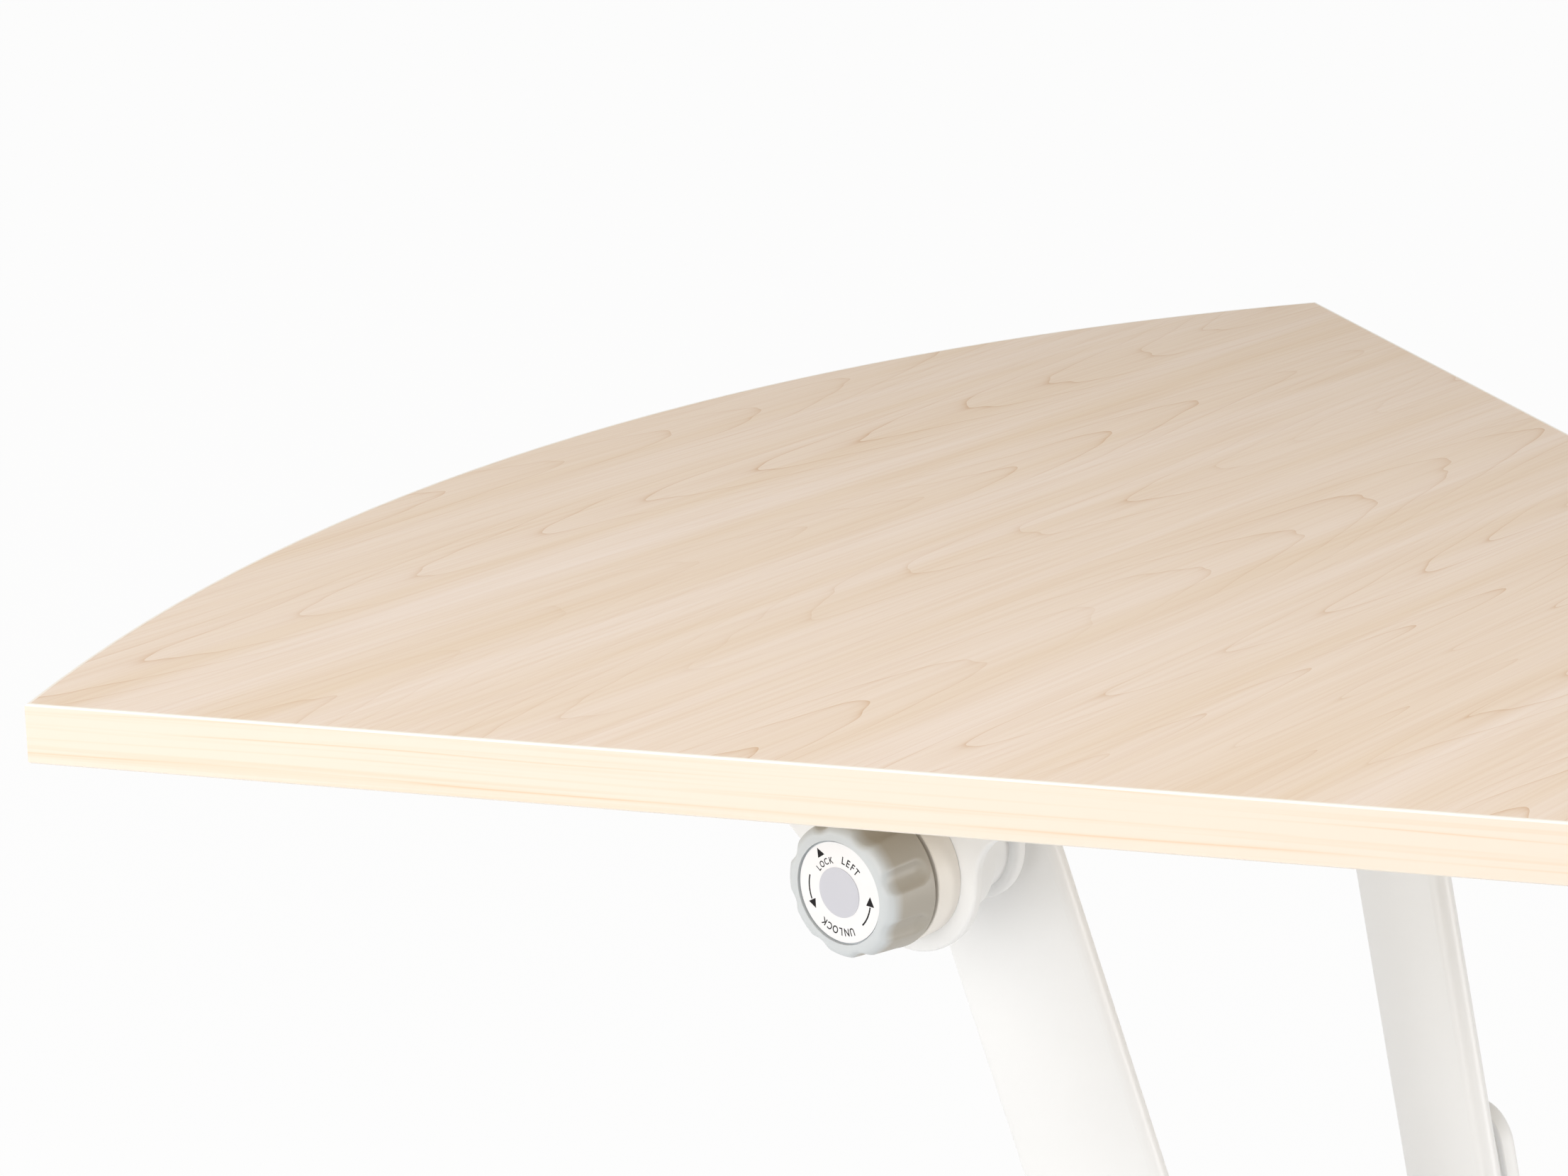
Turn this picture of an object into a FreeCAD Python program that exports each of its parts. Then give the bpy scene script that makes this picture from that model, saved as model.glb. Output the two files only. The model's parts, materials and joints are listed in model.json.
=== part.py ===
"""Fan-shaped corner desk whose top flips upright about a hinge line held by two clamp knobs.

Frame: X along the hinge line, +Y towards the outer arc of the top, +Z up. The origin is on the floor, under
the middle of the top. The left half (negative X) is modelled, and the right half is its mirror image.
"""
import FreeCAD
import Part
import math
import os
from FreeCAD import Vector

# Top: a 60 degree fan with its tip cut off by a concave arc
DESK_HEIGHT = 720.0
BOARD_THICK = 28.0
FAN_ANGLE = 60.0
FAN_RADIUS = 1000.0
OUTER_ARC_RADIUS = 1040.0
INNER_RADIUS = 200.0
BAND_THICK = 2.0
BAND_BEVEL = 0.8
MITRE_SPARE = 1.0
MITRE_REACH = 40.0

# Hinge line and the stack of pieces along it, from the knob's dial inwards
HINGE_DROP = 52.0
DIAL_X = 276.0
KNOB_LENGTH = 27.5
KNOB_FRONT_RADIUS = 30.8
KNOB_REAR_RADIUS = 33.8
KNOB_RIM_ROUND = 5.0
KNOB_REAR_ROUND = 1.0
KNOB_WALL = 4.0
KNOB_BOSS_RADIUS = 18.0
KNOB_RIM_PROUD = 1.0
FLUTE_COUNT = 8
FLUTE_RADIUS = 9.0
FLUTE_DEPTH = 2.4
FLUTE_LENGTH = 18.0
FLUTE_EDGE_ROUND = 3.0
DIAL_RADIUS = 23.3
DIAL_SPACE = 0.8
DIAL_THICK = 1.2
DISC_RADIUS = 11.6
DISC_PROUD = 0.4
KNOB_GAP = 2.6
COLLAR_LENGTH = 15.0
COLLAR_RADIUS = 33.2
COLLAR_ROUND = 0.6
COLLAR_REAR_ROUND = 0.5
COLLAR_WALL = 6.5
COLLAR_WEB = 2.5
SPINDLE_RADIUS = 6.0
SPINDLE_SEAT = 16.0
INSERT_HEAD_RADIUS = 15.0
INSERT_HEAD_LENGTH = 9.0
INSERT_RADIUS = 12.0
RING_RADIUS = 9.0
RING_THICK = 1.5
RING_SPACE = 6.0
SPINDLE_PROUD = 1.0
PLATE_RADIUS = 22.0
PLATE_KEY_WIDTH = 7.0
PLATE_KEY_REACH = 3.0
CLAMP_TRAVEL = 1.2
WASHER_THICK = 1.5
WASHER_RADIUS = 18.0

# Hinge bracket under the top
EAR_THICK = 5.5
EAR_RADIUS = 41.5
EAR_ROUND = 1.5
EAR_FLARE_ANGLE = 50.0
EAR_FLARE_RISE = 16.0
EAR_FLARE_ROUND = 24.0
EAR_FLANK_ANGLE = 36.0
FLANGE_THICK = 6.0
FLANGE_WIDTH = 40.0
FLANGE_CORNER = 12.0
BUSH_RADIUS = 9.5
SCREW_RADIUS = 3.0
SCREW_HEAD_RADIUS = 6.0
SCREW_HEAD = 3.0
SCREW_BITE = 18.0
SCREW_INSET = 10.0

# Hub welded to the leg, with the stop pin that runs in the bracket's groove
DRUM_RADIUS = 31.0
DRUM_LENGTH = 21.0
DRUM_BEVEL = 1.5
NECK_RADIUS = 25.0
NECK_LENGTH = 16.0
HUB_RIM_RADIUS = 30.0
HUB_RIM_LENGTH = 7.5
HUB_RIM_ROUND = 3.0
TRUNK_RADIUS = 16.0
FLIP_RANGE = 90.0
STOP_RADIUS = 22.5
STOP_PIN_RADIUS = 3.0
STOP_PIN_SEAT = 8.0
STOP_REACH = 2.5
STOP_START = -135.0

# Legs: oval tubes that lean and splay
LEG_X = 161.0
LEG_Y = 14.8
LEG_LEAN = 19.8
LEG_SPLAY = 18.5
LEG_BREADTH = 70.5
LEG_THICK = 26.0
LEG_END_RADIUS = 8.0
TUBE_WALL = 2.0
LEG_TOP_CLEARANCE = 3.0
LEG_CAP_THICK = 4.0
BEAM_RADIUS = 19.0
BUMPER_DROP = 235.0
BUMPER_LENGTH = 120.0
BUMPER_WIDTH = 30.0
BUMPER_PROUD = 10.0
BUMPER_ROUND = 4.0

# Feet
FOOT_WIDTH = 42.0
FOOT_HEIGHT = 30.0
FOOT_CORNER = 12.0
FOOT_INNER_REACH = 125.0
FOOT_OUTER_REACH = 460.0
FOOT_CAP_LENGTH = 8.0
FOOT_CAP_PLUG = 14.0
FOOT_CAP_BEVEL = 4.0

# Casters
CASTER_INSET = 28.0
CASTER_HEIGHT = 66.0
WHEEL_RADIUS = 25.0
WHEEL_WIDTH = 14.0
WHEEL_BEVEL = 2.0
WHEEL_DISH_RADIUS = 19.0
WHEEL_HUB_RADIUS = 9.0
WHEEL_DISH = 3.0
WEB_THICK = 8.0
TRAIL = 24.0
HOOD_GAP = 1.5
HOOD_THICK = 3.5
AXLE_RADIUS = 4.0
AXLE_BOSS = 9.0
SWIVEL_BOSS_RADIUS = 11.0
SWIVEL_BOSS_LENGTH = 14.0
STEM_RADIUS = 5.5
STEM_LENGTH = 38.0
SOCKET_WALL = 2.5
SOCKET_FLANGE = 2.0
SOCKET_LIP = 3.0
BRAKE_THICK = 2.5
BRAKE_FROM = 0.0
BRAKE_TO = 52.0
BRAKE_ARM_SPREAD = 30.0
BRAKE_TAB = 9.0

# Fits
RUNNING_FIT = 0.06
SIDE_GAP = 0.5

# Values that follow from the driving dimensions
UNDERSIDE = DESK_HEIGHT - BOARD_THICK
HINGE_Z = UNDERSIDE - HINGE_DROP
HALF_FAN = math.radians(FAN_ANGLE / 2)
CORNER_X = FAN_RADIUS * math.sin(HALF_FAN)
CORNER_Y = FAN_RADIUS * math.cos(HALF_FAN)
ARC_CENTRE_Y = CORNER_Y - math.sqrt(OUTER_ARC_RADIUS**2 - CORNER_X**2)
FAN_FRONT = INNER_RADIUS * math.cos(HALF_FAN)
FAN_BACK = ARC_CENTRE_Y + OUTER_ARC_RADIUS
APEX_Y = -(FAN_FRONT + FAN_BACK) / 2
COLLAR_START = KNOB_LENGTH - KNOB_RIM_PROUD + KNOB_GAP
EAR_START = COLLAR_START + COLLAR_LENGTH
EAR_END = EAR_START + EAR_THICK
DRUM_START = EAR_END + WASHER_THICK
DRUM_END = DRUM_START + DRUM_LENGTH
HUB_RIM_START = DRUM_END + NECK_LENGTH
HUB_RIM_END = HUB_RIM_START + HUB_RIM_LENGTH
INSERT_START = DIAL_THICK + RING_SPACE + RING_THICK
PLATE_THICK = COLLAR_LENGTH - COLLAR_WEB - CLAMP_TRAVEL - SIDE_GAP
LEG_S = DIAL_X - LEG_X
LEG_TOP_RADIUS = HINGE_DROP - LEG_TOP_CLEARANCE
FOOT_Z = CASTER_HEIGHT + FOOT_HEIGHT / 2
LEAN = math.radians(LEG_LEAN)
SPLAY = math.radians(LEG_SPLAY)
FLANK = math.radians(EAR_FLANK_ANGLE)
FLARE = math.radians(EAR_FLARE_ANGLE)
LEG_UP = Vector(-math.sin(LEAN) * math.sin(SPLAY), math.sin(LEAN) * math.cos(SPLAY), math.cos(LEAN))
LEG_BROAD = Vector(-math.cos(LEAN) * math.sin(SPLAY), math.cos(LEAN) * math.cos(SPLAY), -math.sin(LEAN))
LEG_OUT = LEG_UP.cross(LEG_BROAD)
LEG_TOP = Vector(-LEG_X, LEG_Y, HINGE_Z)
LEG_LENGTH = (HINGE_Z - FOOT_Z) / math.cos(LEAN)
LEG_FOOT = LEG_TOP - LEG_UP * LEG_LENGTH
FOOT_ALONG = Vector(-math.sin(SPLAY), math.cos(SPLAY), 0)
X_AXIS = Vector(1, 0, 0)
Y_AXIS = Vector(0, 1, 0)
Z_AXIS = Vector(0, 0, 1)
ORIGIN = Vector(0, 0, 0)


def save(name, shape):
    """Writes one node."""
    shape.exportStep(f"parts/{name}.step")


def save_pair(name, shape):
    """Writes a left piece and its mirror image on the right."""
    save(name + "_left", shape)
    save(name + "_right", shape.mirror(ORIGIN, X_AXIS))


def both(shapes):
    """The shapes with their mirror images, as one group."""
    return Part.makeCompound(list(shapes) + [shape.mirror(ORIGIN, X_AXIS) for shape in shapes])


def on_axis(s, y=0.0, z=0.0):
    """A point at depth s behind the left dial, y and z away from the hinge line."""
    return Vector(s - DIAL_X, y, HINGE_Z + z)


def arc(start, middle, end):
    """An edge along the circle through three points."""
    return Part.Arc(start, middle, end).toShape()


def line(start, end):
    """A straight edge."""
    return Part.LineSegment(start, end).toShape()


def rounded_face(corners):
    """A flat face round corners, each a point and the radius that rounds it (0 for a sharp one)."""
    stretches = []
    for i, (point, radius) in enumerate(corners):
        before = (corners[i - 1][0] - point).normalize()
        after = (corners[(i + 1) % len(corners)][0] - point).normalize()
        half = before.getAngle(after) / 2
        reach = radius / math.tan(half)
        middle = point + (before + after).normalize() * (radius / math.sin(half) - radius)
        stretches.append((point + before * reach, middle, point + after * reach))
    edges = []
    for i, (start, middle, end) in enumerate(stretches):
        if corners[i][1]:
            edges.append(arc(start, middle, end))
        following = stretches[(i + 1) % len(stretches)][0]
        if end.distanceToPoint(following) > RUNNING_FIT:
            edges.append(line(end, following))
    return Part.Face(Part.Wire(edges))


def turned(outline):
    """A solid turned about the hinge line from corners (depth, radius, rounding)."""
    face = rounded_face([(on_axis(s, 0, r), rounding) for s, r, rounding in outline])
    return face.revolve(on_axis(0), X_AXIS, 360)


def rod(s_from, s_to, radius):
    """A round bar along the hinge line."""
    return Part.makeCylinder(radius, s_to - s_from, on_axis(s_from), X_AXIS)


def fillet_where(shape, radius, test):
    """Rounds the edges that pass the test."""
    edges = [edge for edge in shape.Edges if test(edge)]
    return shape.makeFillet(radius, edges)


def side_corner(inset, arc_radius, arc_centre):
    """Where the left side edge, moved inwards, meets an arc that is centred on the middle line."""
    normal = Vector(math.cos(HALF_FAN), math.sin(HALF_FAN), 0)
    along = Vector(-math.sin(HALF_FAN), math.cos(HALF_FAN), 0)
    start = normal * inset - Vector(0, arc_centre, 0)
    b = start.dot(along)
    reach = -b + math.sqrt(b * b - start.dot(start) + arc_radius**2)
    return Vector(0, APEX_Y + arc_centre, UNDERSIDE) + start + along * reach


def mirrored(point):
    """The point's mirror image on the right."""
    return Vector(-point.x, point.y, point.z)


def outer_middle(inset):
    """The middle of the outer arc, moved inwards."""
    return Vector(0, APEX_Y + FAN_BACK - inset, UNDERSIDE)


def inner_middle(inset):
    """The middle of the inner arc, moved into the board."""
    return Vector(0, APEX_Y + INNER_RADIUS + inset, UNDERSIDE)


def slab(edges):
    """A piece of the top's full thickness over closed edges."""
    return Part.Face(Part.Wire(Part.__sortEdges__(edges))).extrude(Z_AXIS * BOARD_THICK)


def top_corners(inset):
    """The left corners of the top at its outer and inner arcs, moved inwards."""
    outer = side_corner(inset, OUTER_ARC_RADIUS - inset, ARC_CENTRE_Y)
    inner = side_corner(inset, INNER_RADIUS + inset, 0)
    return outer, inner


def top_blank(inset):
    """The top's outline, moved inwards and made solid."""
    outer, inner = top_corners(inset)
    return slab([
        arc(outer, outer_middle(inset), mirrored(outer)),
        line(mirrored(outer), mirrored(inner)),
        arc(mirrored(inner), inner_middle(inset), inner),
        line(inner, outer),
    ])


def band_section(spot, inward):
    """The band's upright section at a point of the outline, its two outer edges bevelled."""
    thick = Z_AXIS * BOARD_THICK
    deep = spot + inward * BAND_THICK
    in_step = inward * BAND_BEVEL
    up_step = Z_AXIS * BAND_BEVEL
    low = [deep, spot + in_step, spot + up_step]
    high = [spot + thick - up_step, spot + thick + in_step, deep + thick]
    corners = low + high
    return rounded_face([(corner, 0) for corner in corners])


def arc_band(middle, inward, centre, half_angle):
    """A band bent round a centre, a little longer to both sides than its half angle."""
    section = band_section(middle, inward)
    start = -half_angle - MITRE_SPARE
    section.rotate(centre, Z_AXIS, start)
    return section.revolve(centre, Z_AXIS, -2 * start)


def mitred(band, edge, core, side):
    """The band without its spare end past the plane through a corner of the edge and of the core.

    The spare end lies to the right (1) or to the left (-1) of the way from the core to the edge.
    """
    way = (edge - core).normalize() * MITRE_REACH
    off = Vector(way.y, -way.x, 0) * side
    corners = [edge - way, edge + way, edge + way + off, edge - way + off]
    return band.cut(slab([line(corners[i - 1], corners[i]) for i in range(len(corners))]))


def make_top():
    """The board and its four edge bands."""
    outer, inner = top_corners(0)
    outer_core, inner_core = top_corners(BAND_THICK)
    board = top_blank(BAND_THICK)
    for x_side in (1, -1):
        for screw in screw_places():
            hole = Part.makeCylinder(SCREW_RADIUS, SCREW_BITE, Vector(x_side * screw.x, screw.y, UNDERSIDE))
            board = board.cut(hole)
    save("top_board", board)
    along = (outer - inner).normalize()
    spare = along * BAND_THICK
    inward = Vector(along.y, -along.x, 0)
    side = band_section(inner - spare, inward).extrude(outer - inner + spare * 2)
    side = mitred(side, outer, outer_core, 1)
    save_pair("edge_band", mitred(side, inner, inner_core, -1))
    corner_angle = math.degrees(math.asin(CORNER_X / OUTER_ARC_RADIUS))
    arc_centre = Vector(0, APEX_Y + ARC_CENTRE_Y, UNDERSIDE)
    bent = arc_band(outer_middle(0), -Y_AXIS, arc_centre, corner_angle)
    bent = mitred(bent, outer, outer_core, -1)
    save("edge_band_outer", mitred(bent, mirrored(outer), mirrored(outer_core), 1))
    bent = arc_band(inner_middle(0), Y_AXIS, Vector(0, APEX_Y, UNDERSIDE), FAN_ANGLE / 2)
    bent = mitred(bent, inner, inner_core, 1)
    save("edge_band_inner", mitred(bent, mirrored(inner), mirrored(inner_core), -1))


def ear_outline():
    """The corners of the bracket's ear, each with its rounding: round below and widening to the flange."""
    low = HINGE_DROP - FLANGE_THICK
    front = -EAR_RADIUS - (low - EAR_FLARE_RISE) * math.tan(FLARE)
    back = (EAR_RADIUS / math.cos(FLANK) + low) / math.tan(FLANK)
    bottom = -(EAR_RADIUS + EAR_RADIUS * math.sin(FLANK)) / math.cos(FLANK)
    spots = [
        (back, HINGE_DROP, 0),
        (front, HINGE_DROP, 0),
        (front, low, 0),
        (-EAR_RADIUS, EAR_FLARE_RISE, EAR_FLARE_ROUND),
        (-EAR_RADIUS, bottom, EAR_RADIUS),
        (back, low, 0),
    ]
    return [(on_axis(EAR_START, y, z), rounding) for y, z, rounding in spots]


def screw_places():
    """The bracket screws' axes, on the left, at the underside of the top."""
    (back, _), (front, _) = ear_outline()[:2]
    places = []
    for y in (front.y + SCREW_INSET, back.y - SCREW_INSET):
        for s in (EAR_END + SCREW_INSET, EAR_END + FLANGE_WIDTH - SCREW_INSET):
            places.append(on_axis(s, y, HINGE_DROP))
    return places


def make_bracket():
    """The bracket's ear and flange, with the bore for the bush and the groove for the stop pin."""
    outline = ear_outline()
    ear = rounded_face(outline).extrude(X_AXIS * EAR_THICK)

    def on_rim(edge):
        low_enough = max(vertex.Z for vertex in edge.Vertexes) < UNDERSIDE - FLANGE_THICK + EAR_ROUND
        across = abs(edge.Vertexes[0].X - edge.Vertexes[-1].X) > EAR_THICK / 2
        return low_enough and not across

    ear = fillet_where(ear, EAR_ROUND, on_rim)
    (back, _), (front, _) = outline[:2]
    length = back.y - front.y
    corner = on_axis(EAR_END, front.y, HINGE_DROP - FLANGE_THICK)
    flange = Part.makeBox(FLANGE_WIDTH, length, FLANGE_THICK, corner)
    inner_x = on_axis(EAR_END + FLANGE_WIDTH).x
    flange = fillet_where(
        flange, FLANGE_CORNER,
        lambda edge: abs(edge.Vertexes[0].Z - edge.Vertexes[-1].Z) > FLANGE_THICK / 2
        and abs(edge.Vertexes[0].X - inner_x) < EAR_ROUND,
    )
    bracket = ear.fuse(flange).removeSplitter()
    bracket = bracket.cut(rod(EAR_START, EAR_END, BUSH_RADIUS)).cut(stop_groove())
    for screw in screw_places():
        hole = Part.makeCylinder(SCREW_RADIUS, FLANGE_THICK, screw - Z_AXIS * FLANGE_THICK)
        bracket = bracket.cut(hole)
    save_pair("hinge_bracket", bracket)
    bush = rod(EAR_START, EAR_END, BUSH_RADIUS).cut(rod(EAR_START, EAR_END, SPINDLE_RADIUS + RUNNING_FIT))
    save_pair("pivot_bush", bush)
    screws = [bracket_screw(place) for place in screw_places()]
    save("bracket_screws", both(screws))


def bracket_screw(place):
    """A screw up through the flange into the board."""
    under = place - Z_AXIS * FLANGE_THICK
    shank = Part.makeCylinder(SCREW_RADIUS, FLANGE_THICK + SCREW_BITE, under)
    head = Part.makeCylinder(SCREW_HEAD_RADIUS, SCREW_HEAD, under - Z_AXIS * SCREW_HEAD)
    return head.fuse(shank).removeSplitter()


def stop_groove():
    """The curved groove in the ear's inner face that the stop pin runs in."""
    depth = STOP_REACH + SIDE_GAP
    half = STOP_PIN_RADIUS + SIDE_GAP
    start = on_axis(EAR_END - depth)
    groove = Part.makeCylinder(STOP_RADIUS + half, depth, start, X_AXIS, FLIP_RANGE)
    first = groove.CenterOfMass
    angle = math.degrees(math.atan2(first.z - HINGE_Z, first.y))
    groove.rotate(on_axis(0), X_AXIS, STOP_START + FLIP_RANGE / 2 - angle)
    groove = groove.cut(Part.makeCylinder(STOP_RADIUS - half, depth, start, X_AXIS))
    for turn in (STOP_START, STOP_START + FLIP_RANGE):
        centre = stop_point(EAR_END - depth, turn)
        groove = groove.fuse(Part.makeCylinder(half, depth, centre, X_AXIS))
    return groove.removeSplitter()


def stop_point(s, turn):
    """A point on the stop pin's circle."""
    t = math.radians(turn)
    return on_axis(s, STOP_RADIUS * math.cos(t), STOP_RADIUS * math.sin(t))


def make_lock():
    """The knob and what it clamps with, on the spindle."""
    web_end = COLLAR_START + COLLAR_WEB
    collar = turned([
        (EAR_START, COLLAR_RADIUS - COLLAR_WALL, 0),
        (EAR_START, COLLAR_RADIUS, COLLAR_REAR_ROUND),
        (COLLAR_START, COLLAR_RADIUS, COLLAR_ROUND),
        (COLLAR_START, INSERT_RADIUS + SIDE_GAP, 0),
        (web_end, INSERT_RADIUS + SIDE_GAP, 0),
        (web_end, COLLAR_RADIUS - COLLAR_WALL, 0),
    ])
    plate_start = EAR_START - PLATE_THICK
    plate = rod(plate_start, EAR_START, PLATE_RADIUS)
    key_reach = PLATE_RADIUS + PLATE_KEY_REACH
    plate = plate.fuse(key_bar(plate_start, PLATE_THICK, key_reach, PLATE_KEY_WIDTH)).removeSplitter()
    plate = plate.cut(rod(plate_start, EAR_START, INSERT_RADIUS + RUNNING_FIT))
    guides = rod(web_end, EAR_START, COLLAR_RADIUS - COLLAR_WALL)
    guides = guides.cut(rod(web_end, EAR_START, PLATE_RADIUS + SIDE_GAP))
    slot_width = PLATE_KEY_WIDTH + 2 * SIDE_GAP
    guides = guides.cut(key_bar(web_end, COLLAR_LENGTH - COLLAR_WEB, COLLAR_RADIUS, slot_width))
    save_pair("collar", collar.fuse(guides).removeSplitter())
    save_pair("clamp_plate", plate)

    insert_end = EAR_START - RUNNING_FIT - SIDE_GAP
    insert = rod(INSERT_START, INSERT_START + INSERT_HEAD_LENGTH, INSERT_HEAD_RADIUS)
    insert = insert.fuse(rod(INSERT_START, insert_end, INSERT_RADIUS)).removeSplitter()
    insert = insert.cut(rod(INSERT_START, insert_end, SPINDLE_RADIUS + RUNNING_FIT))
    save_pair("knob_insert", insert)
    spindle_start = INSERT_START - RING_THICK - SPINDLE_PROUD
    save_pair("spindle", rod(spindle_start, DRUM_START + SPINDLE_SEAT, SPINDLE_RADIUS))
    ring = rod(INSERT_START - RING_THICK, INSERT_START, RING_RADIUS)
    ring = ring.cut(rod(INSERT_START - RING_THICK, INSERT_START, SPINDLE_RADIUS))
    save("retaining_rings", both([ring]))
    make_knob()


def key_bar(s, length, reach, width):
    """A flat bar across the hinge line, for the clamp plate's keys and their slots."""
    return Part.makeBox(length, 2 * reach, width, on_axis(s, -reach, -width / 2))


def flute_rims(blank):
    """The edges where the flutes meet the knob's skin."""
    skin = [face for face in blank.Faces if isinstance(face.Surface, (Part.Cone, Part.Toroid))]
    flutes = [face for face in blank.Faces if isinstance(face.Surface, (Part.Cylinder, Part.Sphere))]
    skin_edges = [edge for face in skin for edge in face.Edges]
    flute_edges = [edge for face in flutes for edge in face.Edges]
    return [edge for edge in flute_edges if any(edge.isSame(other) for other in skin_edges)]


def make_knob():
    """The fluted knob, its dial ring and the disc in the middle."""
    front = -KNOB_RIM_PROUD
    rear = front + KNOB_LENGTH
    blank = turned([
        (front, 0, 0),
        (front, KNOB_FRONT_RADIUS, KNOB_RIM_ROUND),
        (rear, KNOB_REAR_RADIUS, KNOB_REAR_ROUND),
        (rear, 0, 0),
    ])
    spread = KNOB_FRONT_RADIUS - FLUTE_DEPTH + FLUTE_RADIUS
    taper = (KNOB_REAR_RADIUS - KNOB_FRONT_RADIUS) / KNOB_LENGTH
    run = Vector(FLUTE_LENGTH, 0, FLUTE_LENGTH * taper)
    mouth = on_axis(front, 0, spread)
    flute = Part.makeCylinder(FLUTE_RADIUS, 2 * run.Length, mouth - run, run)
    flute = flute.fuse(Part.makeSphere(FLUTE_RADIUS, mouth + run)).removeSplitter()
    for i in range(FLUTE_COUNT):
        turn = flute.copy()
        turn.rotate(on_axis(0), X_AXIS, (i + 0.5) * 360 / FLUTE_COUNT)
        blank = blank.cut(turn)
    blank = blank.makeFillet(FLUTE_EDGE_ROUND, flute_rims(blank))
    recess = rod(front, DIAL_THICK, DIAL_RADIUS + DIAL_SPACE)
    pocket = rod(DIAL_THICK, INSERT_START, RING_RADIUS + SIDE_GAP)
    seat = rod(INSERT_START, INSERT_START + INSERT_HEAD_LENGTH, INSERT_HEAD_RADIUS)
    shank = rod(INSERT_START, rear, INSERT_RADIUS)
    hollow = rod(INSERT_START, rear, KNOB_FRONT_RADIUS - FLUTE_DEPTH - KNOB_WALL)
    hollow = hollow.cut(rod(INSERT_START, rear, KNOB_BOSS_RADIUS))
    knob = blank.cut(recess).cut(pocket).cut(seat).cut(shank).cut(hollow)
    save_pair("knob", knob)
    dial = rod(0, DIAL_THICK, DIAL_RADIUS).cut(rod(0, DIAL_THICK, DISC_RADIUS))
    save_pair("dial_ring", dial)
    save_pair("dial_disc", rod(-DISC_PROUD, DIAL_THICK, DISC_RADIUS))


def leg_frame():
    """The leg's own axes: broad way, outward way and up, from its middle at the hinge line."""
    rows = [[LEG_BROAD[i], LEG_OUT[i], LEG_UP[i], LEG_TOP[i]] for i in range(3)]
    values = [value for row in rows for value in row] + [0, 0, 0, 1]
    return FreeCAD.Placement(FreeCAD.Matrix(*values))


def leg_oval(inset):
    """The leg's oval section, moved in from its surface: two small end arcs and two long side arcs."""
    half_breadth = LEG_BREADTH / 2 - inset
    half_thick = LEG_THICK / 2 - inset
    end = LEG_END_RADIUS - inset
    end_centre = half_breadth - end
    side = (end_centre**2 + half_thick**2 - end**2) / (2 * (half_thick - end))
    x = end_centre + end * end_centre / (side - end)
    y = end * (side - half_thick) / (side - end)
    return Part.Face(Part.Wire([
        arc(Vector(x, -y, 0), Vector(half_breadth, 0, 0), Vector(x, y, 0)),
        arc(Vector(x, y, 0), Vector(0, half_thick, 0), Vector(-x, y, 0)),
        arc(Vector(-x, y, 0), Vector(-half_breadth, 0, 0), Vector(-x, -y, 0)),
        arc(Vector(-x, -y, 0), Vector(0, -half_thick, 0), Vector(x, -y, 0)),
    ]))


def leg_bar(inset):
    """The leg's oval bar from the foot to well above the hinge line, moved in from its surface."""
    bar = leg_oval(inset).extrude(Z_AXIS * (LEG_LENGTH + 2 * LEG_TOP_RADIUS))
    bar.translate(Z_AXIS * -LEG_LENGTH)
    bar.Placement = leg_frame().multiply(bar.Placement)
    return bar


def leg_side(sign):
    """All that lies outwards (1) or inwards (-1) of the leg's middle plane."""
    size = 2 * LEG_LENGTH
    half = Part.makeBox(2 * size, size, 2 * size, Vector(-size, min(sign * size, 0), -size))
    half.Placement = leg_frame().multiply(half.Placement)
    return half


def hinge_round(radius):
    """A cylinder about the hinge line, over the left leg."""
    return rod(0, DIAL_X, radius)


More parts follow.
